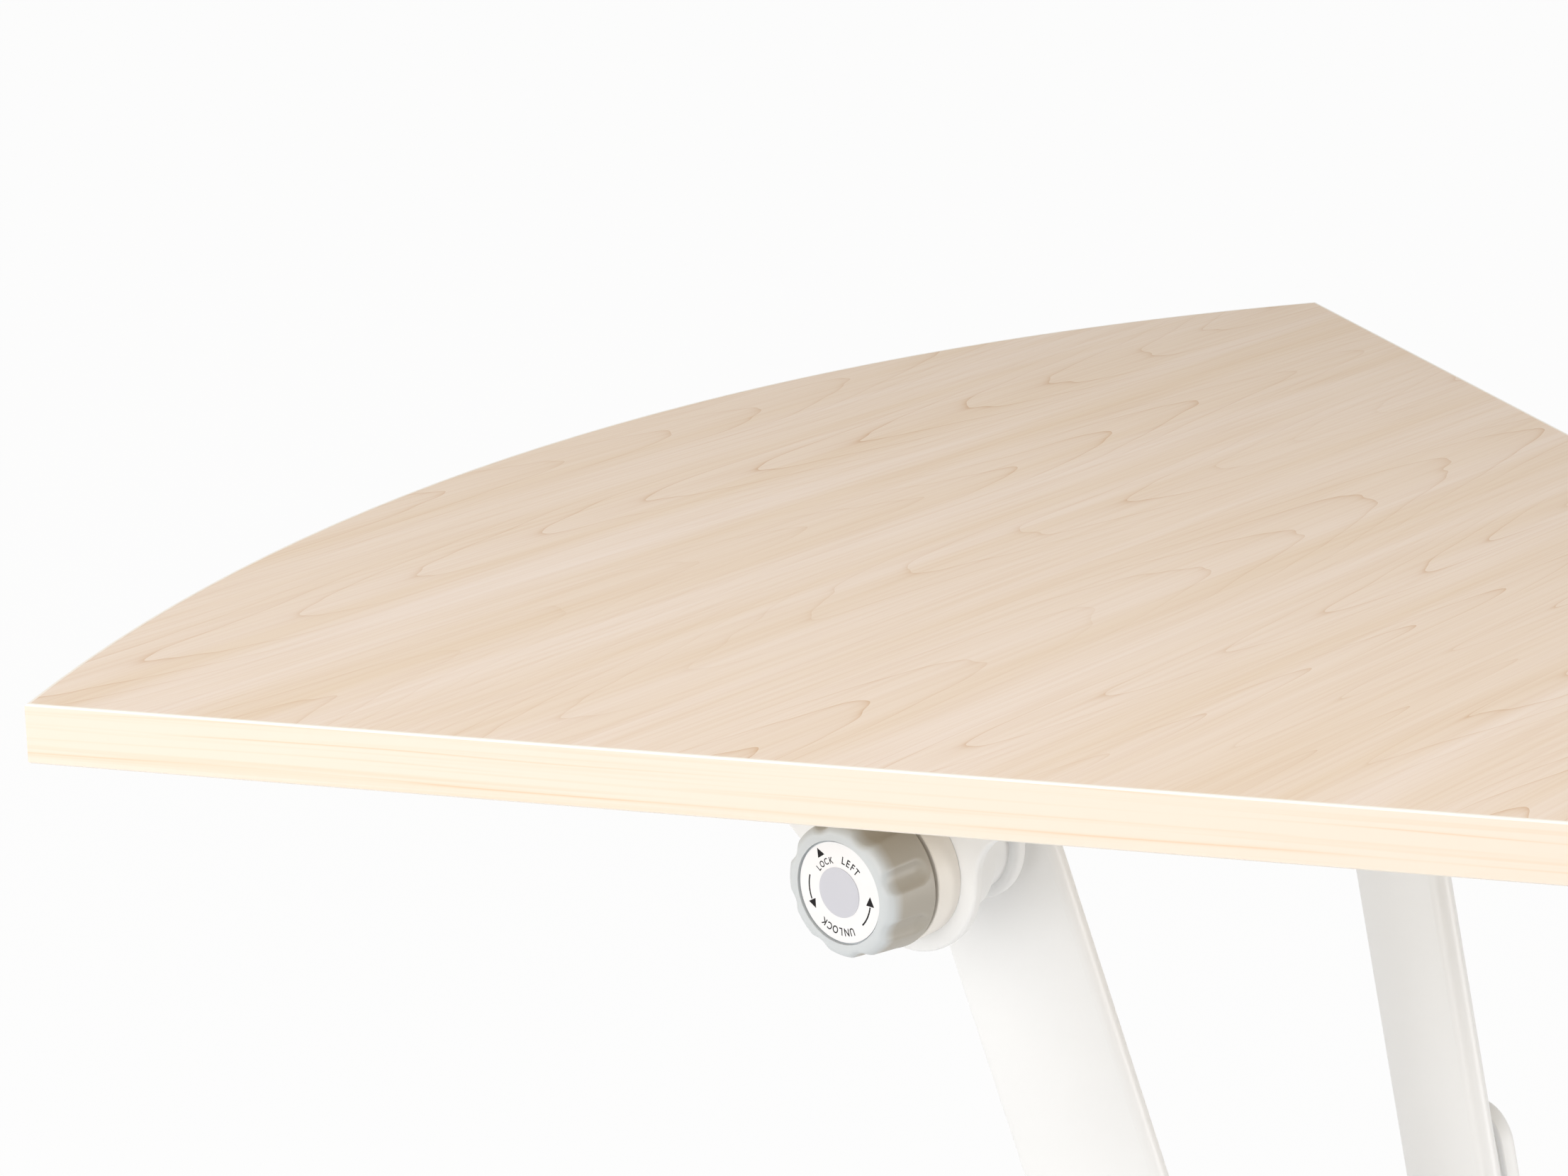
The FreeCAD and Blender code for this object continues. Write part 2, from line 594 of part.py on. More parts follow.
def make_leg():
    """The leaning leg, its rounded top cap, the hub on its face and the nesting bumper."""
    solid_leg = leg_bar(0)
    lower = Part.makeBox(2 * LEG_BREADTH, 2 * LEG_BREADTH, 2 * LEG_LENGTH)
    lower.translate(Vector(-LEG_BREADTH, -LEG_BREADTH, -2 * LEG_LENGTH))
    lower.Placement = leg_frame().multiply(lower.Placement)
    outline = lower.fuse(hinge_round(LEG_TOP_RADIUS))
    inside = leg_bar(TUBE_WALL)
    leg = solid_leg.cut(inside).common(outline).cut(foot_bar(0))
    save_pair("leg", leg.removeSplitter())
    shell = hinge_round(LEG_TOP_RADIUS).cut(hinge_round(LEG_TOP_RADIUS - LEG_CAP_THICK))
    save_pair("leg_cap", inside.common(shell).cut(lower))

    hub = turned([
        (DRUM_START, 0, 0),
        (DRUM_START, DRUM_RADIUS - DRUM_BEVEL, 0),
        (DRUM_START + DRUM_BEVEL, DRUM_RADIUS, 0),
        (DRUM_END - DRUM_BEVEL, DRUM_RADIUS, 0),
        (DRUM_END, DRUM_RADIUS - DRUM_BEVEL, 0),
        (DRUM_END, NECK_RADIUS, 0),
        (HUB_RIM_START, NECK_RADIUS, 0),
        (HUB_RIM_START, HUB_RIM_RADIUS, HUB_RIM_ROUND),
        (HUB_RIM_END, HUB_RIM_RADIUS, HUB_RIM_ROUND),
        (HUB_RIM_END, TRUNK_RADIUS, 0),
        (LEG_S + LEG_THICK, TRUNK_RADIUS, 0),
        (LEG_S + LEG_THICK, 0, 0),
    ])
    hub = hub.cut(leg_side(-1))
    pin_hole = Part.makeCylinder(STOP_PIN_RADIUS, STOP_PIN_SEAT, stop_point(DRUM_START, STOP_START), X_AXIS)
    hub = hub.cut(rod(DRUM_START, DRUM_START + SPINDLE_SEAT, SPINDLE_RADIUS)).cut(pin_hole).cut(solid_leg)
    save_pair("hinge_hub", hub)
    pin_start = EAR_END - STOP_REACH
    pin_length = STOP_REACH + WASHER_THICK + STOP_PIN_SEAT
    stop_pin = Part.makeCylinder(STOP_PIN_RADIUS, pin_length, stop_point(pin_start, STOP_START), X_AXIS)
    save("stop_pins", both([stop_pin]))
    washer = rod(EAR_END, DRUM_START, WASHER_RADIUS).cut(rod(EAR_END, DRUM_START, SPINDLE_RADIUS))
    save("friction_washers", both([washer]))
    make_beam(solid_leg)
    make_bumper(solid_leg)


def make_beam(solid_leg):
    """The tube between the legs on the hinge line, its ends cut to the legs' ovals."""
    reach = LEG_X + LEG_THICK
    start = Vector(-reach, 0, HINGE_Z)
    beam = Part.makeCylinder(BEAM_RADIUS, 2 * reach, start, X_AXIS)
    beam = beam.cut(Part.makeCylinder(BEAM_RADIUS - TUBE_WALL, 2 * reach, start, X_AXIS))
    for end in (solid_leg, leg_side(1)):
        beam = beam.cut(end).cut(end.mirror(ORIGIN, X_AXIS))
    save("cross_beam", beam)


def make_bumper(solid_leg):
    """The pad on the leg's outer face that keeps nested desks apart."""
    half = BUMPER_LENGTH / 2 - BUMPER_WIDTH / 2
    reach = LEG_THICK / 2 + BUMPER_PROUD
    pad = Part.makeBox(BUMPER_WIDTH, reach, 2 * half, Vector(-BUMPER_WIDTH / 2, 0, -half))
    for end in (-half, half):
        pad = pad.fuse(Part.makeCylinder(BUMPER_WIDTH / 2, reach, Vector(0, 0, end), Y_AXIS))
    pad = pad.removeSplitter()
    pad = fillet_where(
        pad, BUMPER_ROUND, lambda edge: min(vertex.Y for vertex in edge.Vertexes) > reach - BUMPER_ROUND
    )
    pad.translate(Z_AXIS * -(BUMPER_DROP + BUMPER_LENGTH / 2))
    pad.Placement = leg_frame().multiply(pad.Placement)
    save_pair("nesting_bumper", pad.cut(solid_leg))


def foot_piece(inset, start, end):
    """A length of the foot's rounded section, moved in, between two distances from the leg's end."""
    width = FOOT_WIDTH / 2 - inset
    height = FOOT_HEIGHT / 2 - inset
    corners = [Vector(x * width, start, z * height) for x, z in ((1, 1), (-1, 1), (-1, -1), (1, -1))]
    section = rounded_face([(corner, FOOT_CORNER - inset) for corner in corners])
    piece = section.extrude(Y_AXIS * (end - start))
    turn = FreeCAD.Rotation(Z_AXIS, LEG_SPLAY)
    piece.Placement = FreeCAD.Placement(LEG_FOOT, turn).multiply(piece.Placement)
    return piece


def foot_bar(inset):
    """The foot's whole bar, moved in from its surface."""
    return foot_piece(inset, -FOOT_INNER_REACH, FOOT_OUTER_REACH)


def caster_places():
    """The left casters' swivel axes on the floor, with the way that each trails."""
    spots = {"inner": (-FOOT_INNER_REACH + CASTER_INSET, -1), "outer": (FOOT_OUTER_REACH - CASTER_INSET, 1)}
    places = {}
    for name, (distance, sign) in spots.items():
        place = LEG_FOOT + FOOT_ALONG * distance
        places[name] = (Vector(place.x, place.y, 0), FOOT_ALONG * sign)
    return places


def make_foot():
    """The foot tube with its end caps and the sockets and stems of its casters."""
    foot = foot_bar(0).cut(foot_bar(TUBE_WALL))
    socket_radius = STEM_RADIUS + SOCKET_WALL
    socket_length = FOOT_HEIGHT - 2 * TUBE_WALL
    sockets = []
    stems = []
    for place, _ in caster_places().values():
        seat = place + Z_AXIS * CASTER_HEIGHT
        foot = foot.cut(Part.makeCylinder(socket_radius, FOOT_HEIGHT / 2, seat))
        socket = Part.makeCylinder(socket_radius, socket_length, seat)
        flange = Part.makeCylinder(socket_radius + SOCKET_LIP, SOCKET_FLANGE, seat - Z_AXIS * SOCKET_FLANGE)
        stem_top = seat + Z_AXIS * (socket_length - SOCKET_WALL)
        stem = Part.makeCylinder(STEM_RADIUS, STEM_LENGTH, stem_top - Z_AXIS * STEM_LENGTH)
        sockets.append(socket.fuse(flange).removeSplitter().cut(stem))
        stems.append(stem)
    save_pair("foot", foot)
    save("caster_sockets", both(sockets))
    save("caster_stems", both(stems))
    save("foot_caps", both([foot_cap(-FOOT_INNER_REACH, -1), foot_cap(FOOT_OUTER_REACH, 1)]))


def foot_cap(end, sign):
    """A bevelled cap that plugs one end of the foot tube."""
    far = end + sign * FOOT_CAP_LENGTH
    head = foot_piece(0, min(end, far), max(end, far))
    tip = LEG_FOOT + FOOT_ALONG * far
    rim = [
        edge for edge in head.Edges
        if all(abs((vertex.Point - tip).dot(FOOT_ALONG)) < SIDE_GAP for vertex in edge.Vertexes)
    ]
    head = head.makeChamfer(FOOT_CAP_BEVEL, rim)
    deep = end - sign * FOOT_CAP_PLUG
    return head.fuse(foot_piece(TUBE_WALL, min(end, deep), max(end, deep))).removeSplitter()


def across(radius, half_width, centre):
    """A round bar along the caster's axle."""
    return Part.makeCylinder(radius, 2 * half_width, centre - Y_AXIS * half_width, Y_AXIS)


def caster_body(axle):
    """The hood over the wheels, the web between them and the swivel boss."""
    hood_inside = WHEEL_RADIUS + HOOD_GAP
    hood_outside = hood_inside + HOOD_THICK
    width = WEB_THICK / 2 + WHEEL_WIDTH + 2 * SIDE_GAP
    above = Part.makeBox(4 * WHEEL_RADIUS, 4 * WHEEL_RADIUS, 2 * WHEEL_RADIUS)
    above.translate(Vector(TRAIL - 2 * WHEEL_RADIUS, -2 * WHEEL_RADIUS, WHEEL_RADIUS + AXLE_RADIUS))
    hood = across(hood_outside, width, axle).cut(across(hood_inside, width, axle))
    web = across(hood_inside, WEB_THICK / 2, axle)
    arch = hood.fuse(web).common(above)
    boss_top = CASTER_HEIGHT - SOCKET_FLANGE - SIDE_GAP
    boss_foot = Vector(0, 0, boss_top - SWIVEL_BOSS_LENGTH)
    boss = Part.makeCylinder(SWIVEL_BOSS_RADIUS, SWIVEL_BOSS_LENGTH, boss_foot)
    stalk_height = WHEEL_RADIUS - AXLE_BOSS / 2
    stalk = Part.makeBox(2 * AXLE_BOSS, WEB_THICK, stalk_height)
    stalk.translate(Vector(TRAIL - AXLE_BOSS, -WEB_THICK / 2, WHEEL_RADIUS))
    body = arch.fuse([boss, across(AXLE_BOSS, WEB_THICK / 2, axle), stalk]).removeSplitter()
    stem_foot = CASTER_HEIGHT + FOOT_HEIGHT - 2 * TUBE_WALL - SOCKET_WALL - STEM_LENGTH
    bore_foot = Vector(0, 0, stem_foot - SIDE_GAP)
    stem_bore = Part.makeCylinder(STEM_RADIUS + RUNNING_FIT, CASTER_HEIGHT, bore_foot)
    return body.cut(stem_bore).cut(across(AXLE_RADIUS, width, axle))


def caster_wheel(axle):
    """One dished wheel, on the near side of the web."""
    inner = WEB_THICK / 2 + SIDE_GAP
    outer = inner + WHEEL_WIDTH
    outline = [
        (inner, AXLE_RADIUS + RUNNING_FIT, 0),
        (inner, WHEEL_RADIUS - WHEEL_BEVEL, 0),
        (inner + WHEEL_BEVEL, WHEEL_RADIUS, 0),
        (outer - WHEEL_BEVEL, WHEEL_RADIUS, 0),
        (outer, WHEEL_RADIUS - WHEEL_BEVEL, 0),
        (outer, WHEEL_DISH_RADIUS, 0),
        (outer - WHEEL_DISH, WHEEL_DISH_RADIUS - WHEEL_DISH, 0),
        (outer - WHEEL_DISH, WHEEL_HUB_RADIUS, 0),
        (outer, WHEEL_HUB_RADIUS, 0),
        (outer, AXLE_RADIUS + RUNNING_FIT, 0),
    ]
    face = rounded_face([(axle + Vector(0, y, r), rounding) for y, r, rounding in outline])
    return face.revolve(axle, Y_AXIS, 360)


def caster_brake(axle):
    """A stirrup over the hood that is carried on the axle and is trodden down."""
    inside = WHEEL_RADIUS + HOOD_GAP + HOOD_THICK + SIDE_GAP
    half_width = WEB_THICK / 2 + WHEEL_WIDTH + 3 * SIDE_GAP
    outside = inside + BRAKE_THICK
    full = half_width + BRAKE_THICK
    strap = brake_wedge(axle, outside, full, BRAKE_FROM, BRAKE_TO).cut(across(inside, full, axle))
    middle = (BRAKE_FROM + BRAKE_TO) / 2
    arms = brake_wedge(axle, outside, full, middle - BRAKE_ARM_SPREAD / 2, middle + BRAKE_ARM_SPREAD / 2)
    arms = arms.fuse(across(AXLE_BOSS, full, axle)).cut(across(2 * outside, half_width, axle))
    tab = Part.makeBox(BRAKE_TAB, 2 * half_width, BRAKE_THICK)
    tab.translate(axle + Vector(inside + BRAKE_THICK / 2, -half_width, 0))
    brake = strap.fuse([arms, tab]).removeSplitter()
    return brake.cut(across(AXLE_RADIUS + RUNNING_FIT, full, axle))


def brake_wedge(axle, radius, half_width, angle_from, angle_to):
    """A pie-shaped piece about the axle, between two angles above the way it trails."""
    start = axle - Y_AXIS * half_width
    wedge = Part.makeCylinder(radius, 2 * half_width, start, Y_AXIS, angle_to - angle_from)
    centre = wedge.CenterOfMass - axle
    angle = math.degrees(math.atan2(centre.z, centre.x))
    wedge.rotate(axle, Y_AXIS, angle - (angle_from + angle_to) / 2)
    return wedge


def make_casters():
    """The twin-wheel casters; the outer ones have brakes."""
    axle = Vector(TRAIL, 0, WHEEL_RADIUS)
    wheel = caster_wheel(axle)
    wheels = Part.makeCompound([wheel, wheel.mirror(ORIGIN, Y_AXIS)])
    axle_half = WEB_THICK / 2 + WHEEL_WIDTH + 3 * SIDE_GAP + BRAKE_THICK
    pieces = {
        "body": caster_body(axle),
        "wheels": wheels,
        "axle": across(AXLE_RADIUS, axle_half, axle),
    }
    for name, (place, trail) in caster_places().items():
        turn = math.degrees(math.atan2(trail.y, trail.x))
        spot = FreeCAD.Placement(place, FreeCAD.Rotation(Z_AXIS, turn))
        made = dict(pieces)
        if name == "outer":
            made["brake"] = caster_brake(axle)
        for piece_name, piece in made.items():
            placed = piece.copy()
            placed.Placement = spot.multiply(placed.Placement)
            save_pair(f"caster_{name}_{piece_name}", placed)


os.makedirs("parts", exist_ok=True)
make_top()
make_bracket()
make_lock()
make_leg()
make_foot()
make_casters()
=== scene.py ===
"""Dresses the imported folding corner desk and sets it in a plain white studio.

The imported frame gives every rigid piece. This script gives them their finishes and adds the print on the
two dials, the recessed heads of the bracket screws, the weld beads at the feet and the pads on the legs.
"""
import json
import math

import bpy
from mathutils import Matrix, Vector

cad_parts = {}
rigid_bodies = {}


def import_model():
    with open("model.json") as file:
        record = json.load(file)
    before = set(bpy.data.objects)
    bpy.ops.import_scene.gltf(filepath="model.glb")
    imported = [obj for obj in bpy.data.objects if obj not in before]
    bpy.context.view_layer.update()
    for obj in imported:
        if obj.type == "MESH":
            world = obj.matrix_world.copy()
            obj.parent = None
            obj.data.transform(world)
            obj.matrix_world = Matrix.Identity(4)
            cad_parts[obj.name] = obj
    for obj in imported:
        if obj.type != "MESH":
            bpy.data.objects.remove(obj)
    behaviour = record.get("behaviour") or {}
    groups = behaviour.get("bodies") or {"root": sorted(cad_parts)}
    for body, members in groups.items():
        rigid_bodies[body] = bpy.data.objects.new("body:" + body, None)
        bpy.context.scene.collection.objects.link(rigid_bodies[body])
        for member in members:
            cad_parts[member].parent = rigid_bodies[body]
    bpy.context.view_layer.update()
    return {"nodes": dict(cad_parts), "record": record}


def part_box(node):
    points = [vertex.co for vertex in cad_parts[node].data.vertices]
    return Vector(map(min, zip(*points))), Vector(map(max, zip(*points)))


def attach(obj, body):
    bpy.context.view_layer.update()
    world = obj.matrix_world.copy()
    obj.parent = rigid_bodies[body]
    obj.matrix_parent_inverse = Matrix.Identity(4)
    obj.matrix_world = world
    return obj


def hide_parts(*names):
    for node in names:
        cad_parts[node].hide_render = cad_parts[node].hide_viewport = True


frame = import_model()

bl_info = {
    "name": "Folding Corner Desk",
    "version": (1, 0, 0),
    "blender": (4, 5, 0),
    "location": "View3D > Sidebar > Desk",
    "description": "Finishes and small pieces of a folding corner desk, with a studio for its picture",
    "category": "Object",
}

MM = 0.001
SIDES = ("left", "right")
# Points closer than this count as one
TOUCH = 0.01 * MM
# Edges that turn by more than this stay sharp
SMOOTH_ANGLE = math.radians(35)


def linear(text):
    """The linear colour of an sRGB hex value such as E8D3BC."""
    values = [int(text[i:i + 2], 16) / 255 for i in (0, 2, 4)]
    return tuple(v / 12.92 if v <= 0.04045 else ((v + 0.055) / 1.055) ** 2.4 for v in values)


def opaque(colour):
    """The colour with full alpha, as a node's socket takes it."""
    return tuple(colour[:3]) + (1.0,)


def colour_value(name, text, description):
    """A colour that a user can change, with an sRGB hex default."""
    return bpy.props.FloatVectorProperty(
        name=name, description=description, subtype="COLOR", size=3, min=0.0, max=1.0,
        default=linear(text),
    )


def length_value(name, millimetres, description):
    """A length that a user can change."""
    return bpy.props.FloatProperty(
        name=name, description=description, subtype="DISTANCE", unit="LENGTH", min=0.0,
        default=millimetres * MM,
    )


def angle_value(name, degrees, description):
    """An angle that a user can change."""
    return bpy.props.FloatProperty(
        name=name, description=description, subtype="ANGLE", unit="ROTATION",
        default=math.radians(degrees),
    )


def share_value(name, share, description):
    """A share from none to all that a user can change."""
    return bpy.props.FloatProperty(
        name=name, description=description, subtype="FACTOR", min=0.0, max=1.0, default=share,
    )


class DeskColours(bpy.types.PropertyGroup):
    """Colours of the desk's finishes."""

    maple_light: colour_value("Maple light", "F8EADF", "Pale ground of the printed maple")
    maple_warm: colour_value("Maple warm", "EDD7BC", "Warmer bands along the grain")
    maple_line: colour_value("Maple line", "CDA070", "Late wood lines of the printed maple")
    band_light: colour_value("Edge band", "FBE7D7", "Cream ground of the edge band")
    band_streak: colour_value("Edge band streak", "E8B87F", "Streaks along the edge band")
    # Painted highlight: the edge band's bevelled edges are painted in this whiter colour
    band_edge_highlight: colour_value("Edge band trim", "FAF3E9", "Trimmed edges of the edge band")
    backing: colour_value("Backing", "E4D5BE", "Plain sheet on the underside of the board")
    powder_white: colour_value("Powder coat", "F6F7F8", "White of the tubes and brackets")
    collar_white: colour_value("Collar", "F6F2EC", "Off-white plastic of the collars and caps")
    knob_grey: colour_value("Knob", "D2D7DA", "Smooth front of the grey knobs")
    # Painted shade: the knob's side is painted in this darker, warmer grey
    knob_side_shade: colour_value("Grip", "B0ABA1", "Matt grip of the knobs")
    dial_white: colour_value("Dial", "F8F8FA", "White film of the dials")
    disc_grey: colour_value("Dial disc", "D0D1DA", "Grey disc in the middle of the dials")
    ink: colour_value("Dial ink", "1B1719", "Ink of the words and arrows")
    caster_grey: colour_value("Caster", "9FA2A3", "Grey nylon of the casters")
    tread_grey: colour_value("Tread", "5C5E60", "Tyres of the casters")
    zinc: colour_value("Zinc", "BFC1C3", "Zinc plate of the steel fittings")


class DeskSizes(bpy.types.PropertyGroup):
    """Sizes of the small pieces and of the grain."""

    figure_gap: length_value("Figure gap", 82, "Way between the maple's noses, along the grain")
    figure_width: length_value("Figure width", 187, "Way from one row of noses to the next")
    figure_start: length_value("Figure start", 103, "Way from the hinge line to a row of noses")
    letter_height: length_value("Letter height", 3.5, "Height of the dial's letters")
    pointed_height: length_value("Pointed height", 2.9, "Height of the letters under the dial's pointer")
    stroke: length_value("Arrow stroke", 0.75, "Width of the dial's arrows")
    arrow_head: length_value("Arrow head", 4.6, "Width of the heads of the dial's arrows")
    ink_thick: length_value("Ink", 0.06, "Thickness of the dial's ink")
    screw_head: length_value("Screw head", 12, "Width of the heads of the bracket screws")
    screw_height: length_value("Screw height", 3, "Height of the heads of the bracket screws")
    screw_gap: length_value("Screw gap", 20, "Way between the two screws at one end of a bracket")
    weld: length_value("Weld bead", 4.5, "Width of the weld beads at the feet")
    pad_width: length_value("Pad width", 48, "Width of the nesting pads on the legs")
    pad_length: length_value("Pad length", 95, "Length of the nesting pads on the legs")
    pad_proud: length_value("Pad height", 15.6, "How far the nesting pads stand off the legs")
    pad_foot: length_value("Pad foot", 4.8, "Height of the slim foot under each pad")
    pad_gap: length_value("Pad gap", 3.5, "How far a pad overhangs its foot")
    pad_round: length_value("Pad rounding", 5, "Rounding of the pads' rims")
    leg_lean: angle_value("Leg lean", 19.8, "Lean of the legs from upright")
    leg_splay: angle_value("Leg splay", 18.5, "Turn of the legs' broad faces about the upright")


class DeskStage(bpy.types.PropertyGroup):
    """The studio."""

    floor_size: length_value("Floor", 16000, "Side of the floor")
    floor_paint: colour_value("Floor paint", "EEEEEE", "Colour that the floor throws back on the desk")
    floor_white: share_value("Floor white", 0.96, "Share of plain white in the floor's look")
    backdrop_white: share_value("Backdrop white", 0.97, "How white the backdrop shows behind the floor")
    ambient_tint: colour_value("Ambient tint", "FFF8EC", "Colour of the light from all round")
    ambient: share_value("Ambient", 0.35, "Strength of the light from all round")
    lens: bpy.props.FloatProperty(
        name="Lens", description="Focal length on a 36 mm wide frame", subtype="DISTANCE_CAMERA",
        default=85.07,
    )


def add(tree, kind, inputs=None, **settings):
    """Adds a node with its settings; each input is another node's socket or a plain value."""
    made = tree.nodes.new(kind)
    for name, value in settings.items():
        setattr(made, name, value)
    for key, value in (inputs or {}).items():
        if isinstance(value, bpy.types.NodeSocket):
            tree.links.new(value, made.inputs[key])
        else:
            made.inputs[key].default_value = value
    return made


def new_finish(name, colour, roughness, **sockets):
    """A new material, its node tree and its shader, with plain values on the shader."""
    material = bpy.data.materials.new(name)
    material.use_nodes = True
    shader = material.node_tree.nodes["Principled BSDF"]
    shader.inputs["Base Color"].default_value = opaque(colour)
    shader.inputs["Roughness"].default_value = roughness
    for key, value in sockets.items():
        shader.inputs[key.replace("_", " ")].default_value = value
    return material, material.node_tree, shader


def coat(piece, material):
    """Gives the piece this material alone."""
    piece.data.materials.clear()
    piece.data.materials.append(material)


def paint(material, *starts):
    """Gives the material to every node whose name starts with one of the words."""
    for name, node in frame["nodes"].items():
        if name.startswith(starts):
            coat(node, material)


# The maple print. Scales are per metre along the grain, across it and through the board. The length of
# the noses and the depth of the ripple count in gaps between lines
MAPLE_GLOSS = (0.38, 0.5)
MAPLE_SHINE = 0.08
NARROW_END = -200 * MM
ROWS_GAINED = 1.39
WANDER_SCALE = (1.7, 4.0, 0.0)
WANDER_ROWS = 0.55
NOSE_LENGTH = 4.6
RIPPLE_SCALE = (5.0, 38.0, 0.0)
RIPPLE_DEPTH = 1.1
LINE_POWER = 20.0
SHADE_POWER = 2.0
SHADE_SHARE = 0.17
PATCH_SCALE = (3.0, 9.0, 0.0)
PATCH_START = (3.1, 1.7, 0.0)
PATCH_RANGE = (0.38, 0.62)
FIGURE_SHARE = (0.1, 0.5)
BROAD_SCALE = (1.2, 34.0, 0.0)
BROAD_RANGE = (0.22, 0.88)
HAIR_SCALE = (7.0, 420.0, 0.0)
HAIR_RANGE = (0.42, 0.8)
HAIR_SHARE = 0.16
HAIR_DEPTH = 0.1 * MM
HAIR_STRENGTH = 0.06


def maple_melamine(colours, sizes):
    """Melamine facing with a printed maple: a satin film, soft bands and brown lines nested in noses."""
    material, tree, shader = new_finish(
        "maple_melamine_printed", colours.maple_light, MAPLE_GLOSS[0], Specular_IOR_Level=MAPLE_SHINE
    )
    place = add(tree, "ShaderNodeTexCoord").outputs["Object"]
    axes = add(tree, "ShaderNodeSeparateXYZ", {0: place}).outputs
    # The rows of noses lie about 190 mm apart, and closer together towards the narrow end
    row = add(tree, "ShaderNodeMapRange", {
        "Value": axes["Y"],
        "From Min": sizes.figure_start, "From Max": sizes.figure_start + sizes.figure_width,
    }, clamp=False)
    close = add(tree, "ShaderNodeMapRange", {
        "Value": axes["Y"], "From Min": 0.0, "From Max": NARROW_END,
    })
    close = add(tree, "ShaderNodeMath", {0: close.outputs[0], 1: 2.0}, operation="POWER")
    row = add(tree, "ShaderNodeMath", {
        0: close.outputs[0], 1: -ROWS_GAINED, 2: row.outputs[0],
    }, operation="MULTIPLY_ADD")
    # They wander by a few centimetres along the board
    slow = add(tree, "ShaderNodeMapping", {0: place, "Scale": WANDER_SCALE})
    drift = add(tree, "ShaderNodeTexNoise", {"Vector": slow.outputs[0], "Scale": 1.0, "Detail": 1.0})
    drift = add(tree, "ShaderNodeMath", {0: drift.outputs[0], 1: 0.5}, operation="SUBTRACT")
    row = add(tree, "ShaderNodeMath", {
        0: drift.outputs[0], 1: WANDER_ROWS, 2: row.outputs[0],
    }, operation="MULTIPLY_ADD")
    turn = add(tree, "ShaderNodeMath", {0: row.outputs[0], 1: 2 * math.pi}, operation="MULTIPLY")
    arch = add(tree, "ShaderNodeMath", {0: turn.outputs[0]}, operation="COSINE")
    # Each line nests in the next, with a slight ripple
    quick = add(tree, "ShaderNodeMapping", {0: place, "Scale": RIPPLE_SCALE})
    ripple = add(tree, "ShaderNodeTexNoise", {"Vector": quick.outputs[0], "Scale": 1.0, "Detail": 2.0})
    field = add(tree, "ShaderNodeMath", {0: axes["X"], 1: 1 / sizes.figure_gap}, operation="MULTIPLY")
    field = add(tree, "ShaderNodeMath", {
        0: arch.outputs[0], 1: NOSE_LENGTH, 2: field.outputs[0],
    }, operation="MULTIPLY_ADD")
    field = add(tree, "ShaderNodeMath", {
        0: ripple.outputs[0], 1: RIPPLE_DEPTH, 2: field.outputs[0],
    }, operation="MULTIPLY_ADD")
    ring = add(tree, "ShaderNodeMath", {0: field.outputs[0]}, operation="FRACT")
    line = add(tree, "ShaderNodeMath", {0: ring.outputs[0], 1: LINE_POWER}, operation="POWER")
    shade = add(tree, "ShaderNodeMath", {0: ring.outputs[0], 1: SHADE_POWER}, operation="POWER")
    # The lines show at the noses and fade on the straight grain between the rows
    near = add(tree, "ShaderNodeMath", {0: arch.outputs[0], 1: 2.0}, operation="POWER")
    patch = add(tree, "ShaderNodeMapping", {0: place, "Scale": PATCH_SCALE, "Location": PATCH_START})
    patch = add(tree, "ShaderNodeTexNoise", {"Vector": patch.outputs[0], "Scale": 1.0, "Detail": 1.0})
    patch = add(tree, "ShaderNodeMapRange", {
        "Value": patch.outputs[0], "From Min": PATCH_RANGE[0], "From Max": PATCH_RANGE[1],
    })
    seen = add(tree, "ShaderNodeMath", {0: near.outputs[0], 1: patch.outputs[0]}, operation="MULTIPLY")
    seen = add(tree, "ShaderNodeMapRange", {
        "Value": seen.outputs[0], "To Min": FIGURE_SHARE[0], "To Max": FIGURE_SHARE[1],
    })
    # Bands of warmer wood, 10 to 40 mm wide, and hairlines drawn 2 mm wide so that they show
    broad = add(tree, "ShaderNodeMapping", {0: place, "Scale": BROAD_SCALE})
    bands = add(tree, "ShaderNodeTexNoise", {"Vector": broad.outputs[0], "Scale": 1.0, "Detail": 3.0})
    fine = add(tree, "ShaderNodeMapping", {0: place, "Scale": HAIR_SCALE})
    hairs = add(tree, "ShaderNodeTexNoise", {"Vector": fine.outputs[0], "Scale": 1.0, "Detail": 2.0})
    warm = add(tree, "ShaderNodeMapRange", {
        "Value": bands.outputs[0], "From Min": BROAD_RANGE[0], "From Max": BROAD_RANGE[1],
    })
    ground = add(tree, "ShaderNodeMix", {
        0: warm.outputs[0], 6: opaque(colours.maple_light), 7: opaque(colours.maple_warm),
    }, data_type="RGBA")
    depth = add(tree, "ShaderNodeMath", {
        0: shade.outputs[0], 1: SHADE_SHARE, 2: line.outputs[0],
    }, operation="MULTIPLY_ADD")
    depth = add(tree, "ShaderNodeMath", {0: depth.outputs[0], 1: seen.outputs[0]}, operation="MULTIPLY")
    thin = add(tree, "ShaderNodeMapRange", {
        "Value": hairs.outputs[0], "From Min": HAIR_RANGE[0], "From Max": HAIR_RANGE[1],
        "To Max": HAIR_SHARE,
    })
    depth = add(tree, "ShaderNodeMath", {0: depth.outputs[0], 1: thin.outputs[0]}, operation="ADD")
    grain = add(tree, "ShaderNodeMix", {
        0: depth.outputs[0], 6: ground.outputs[2], 7: opaque(colours.maple_line),
    }, data_type="RGBA")
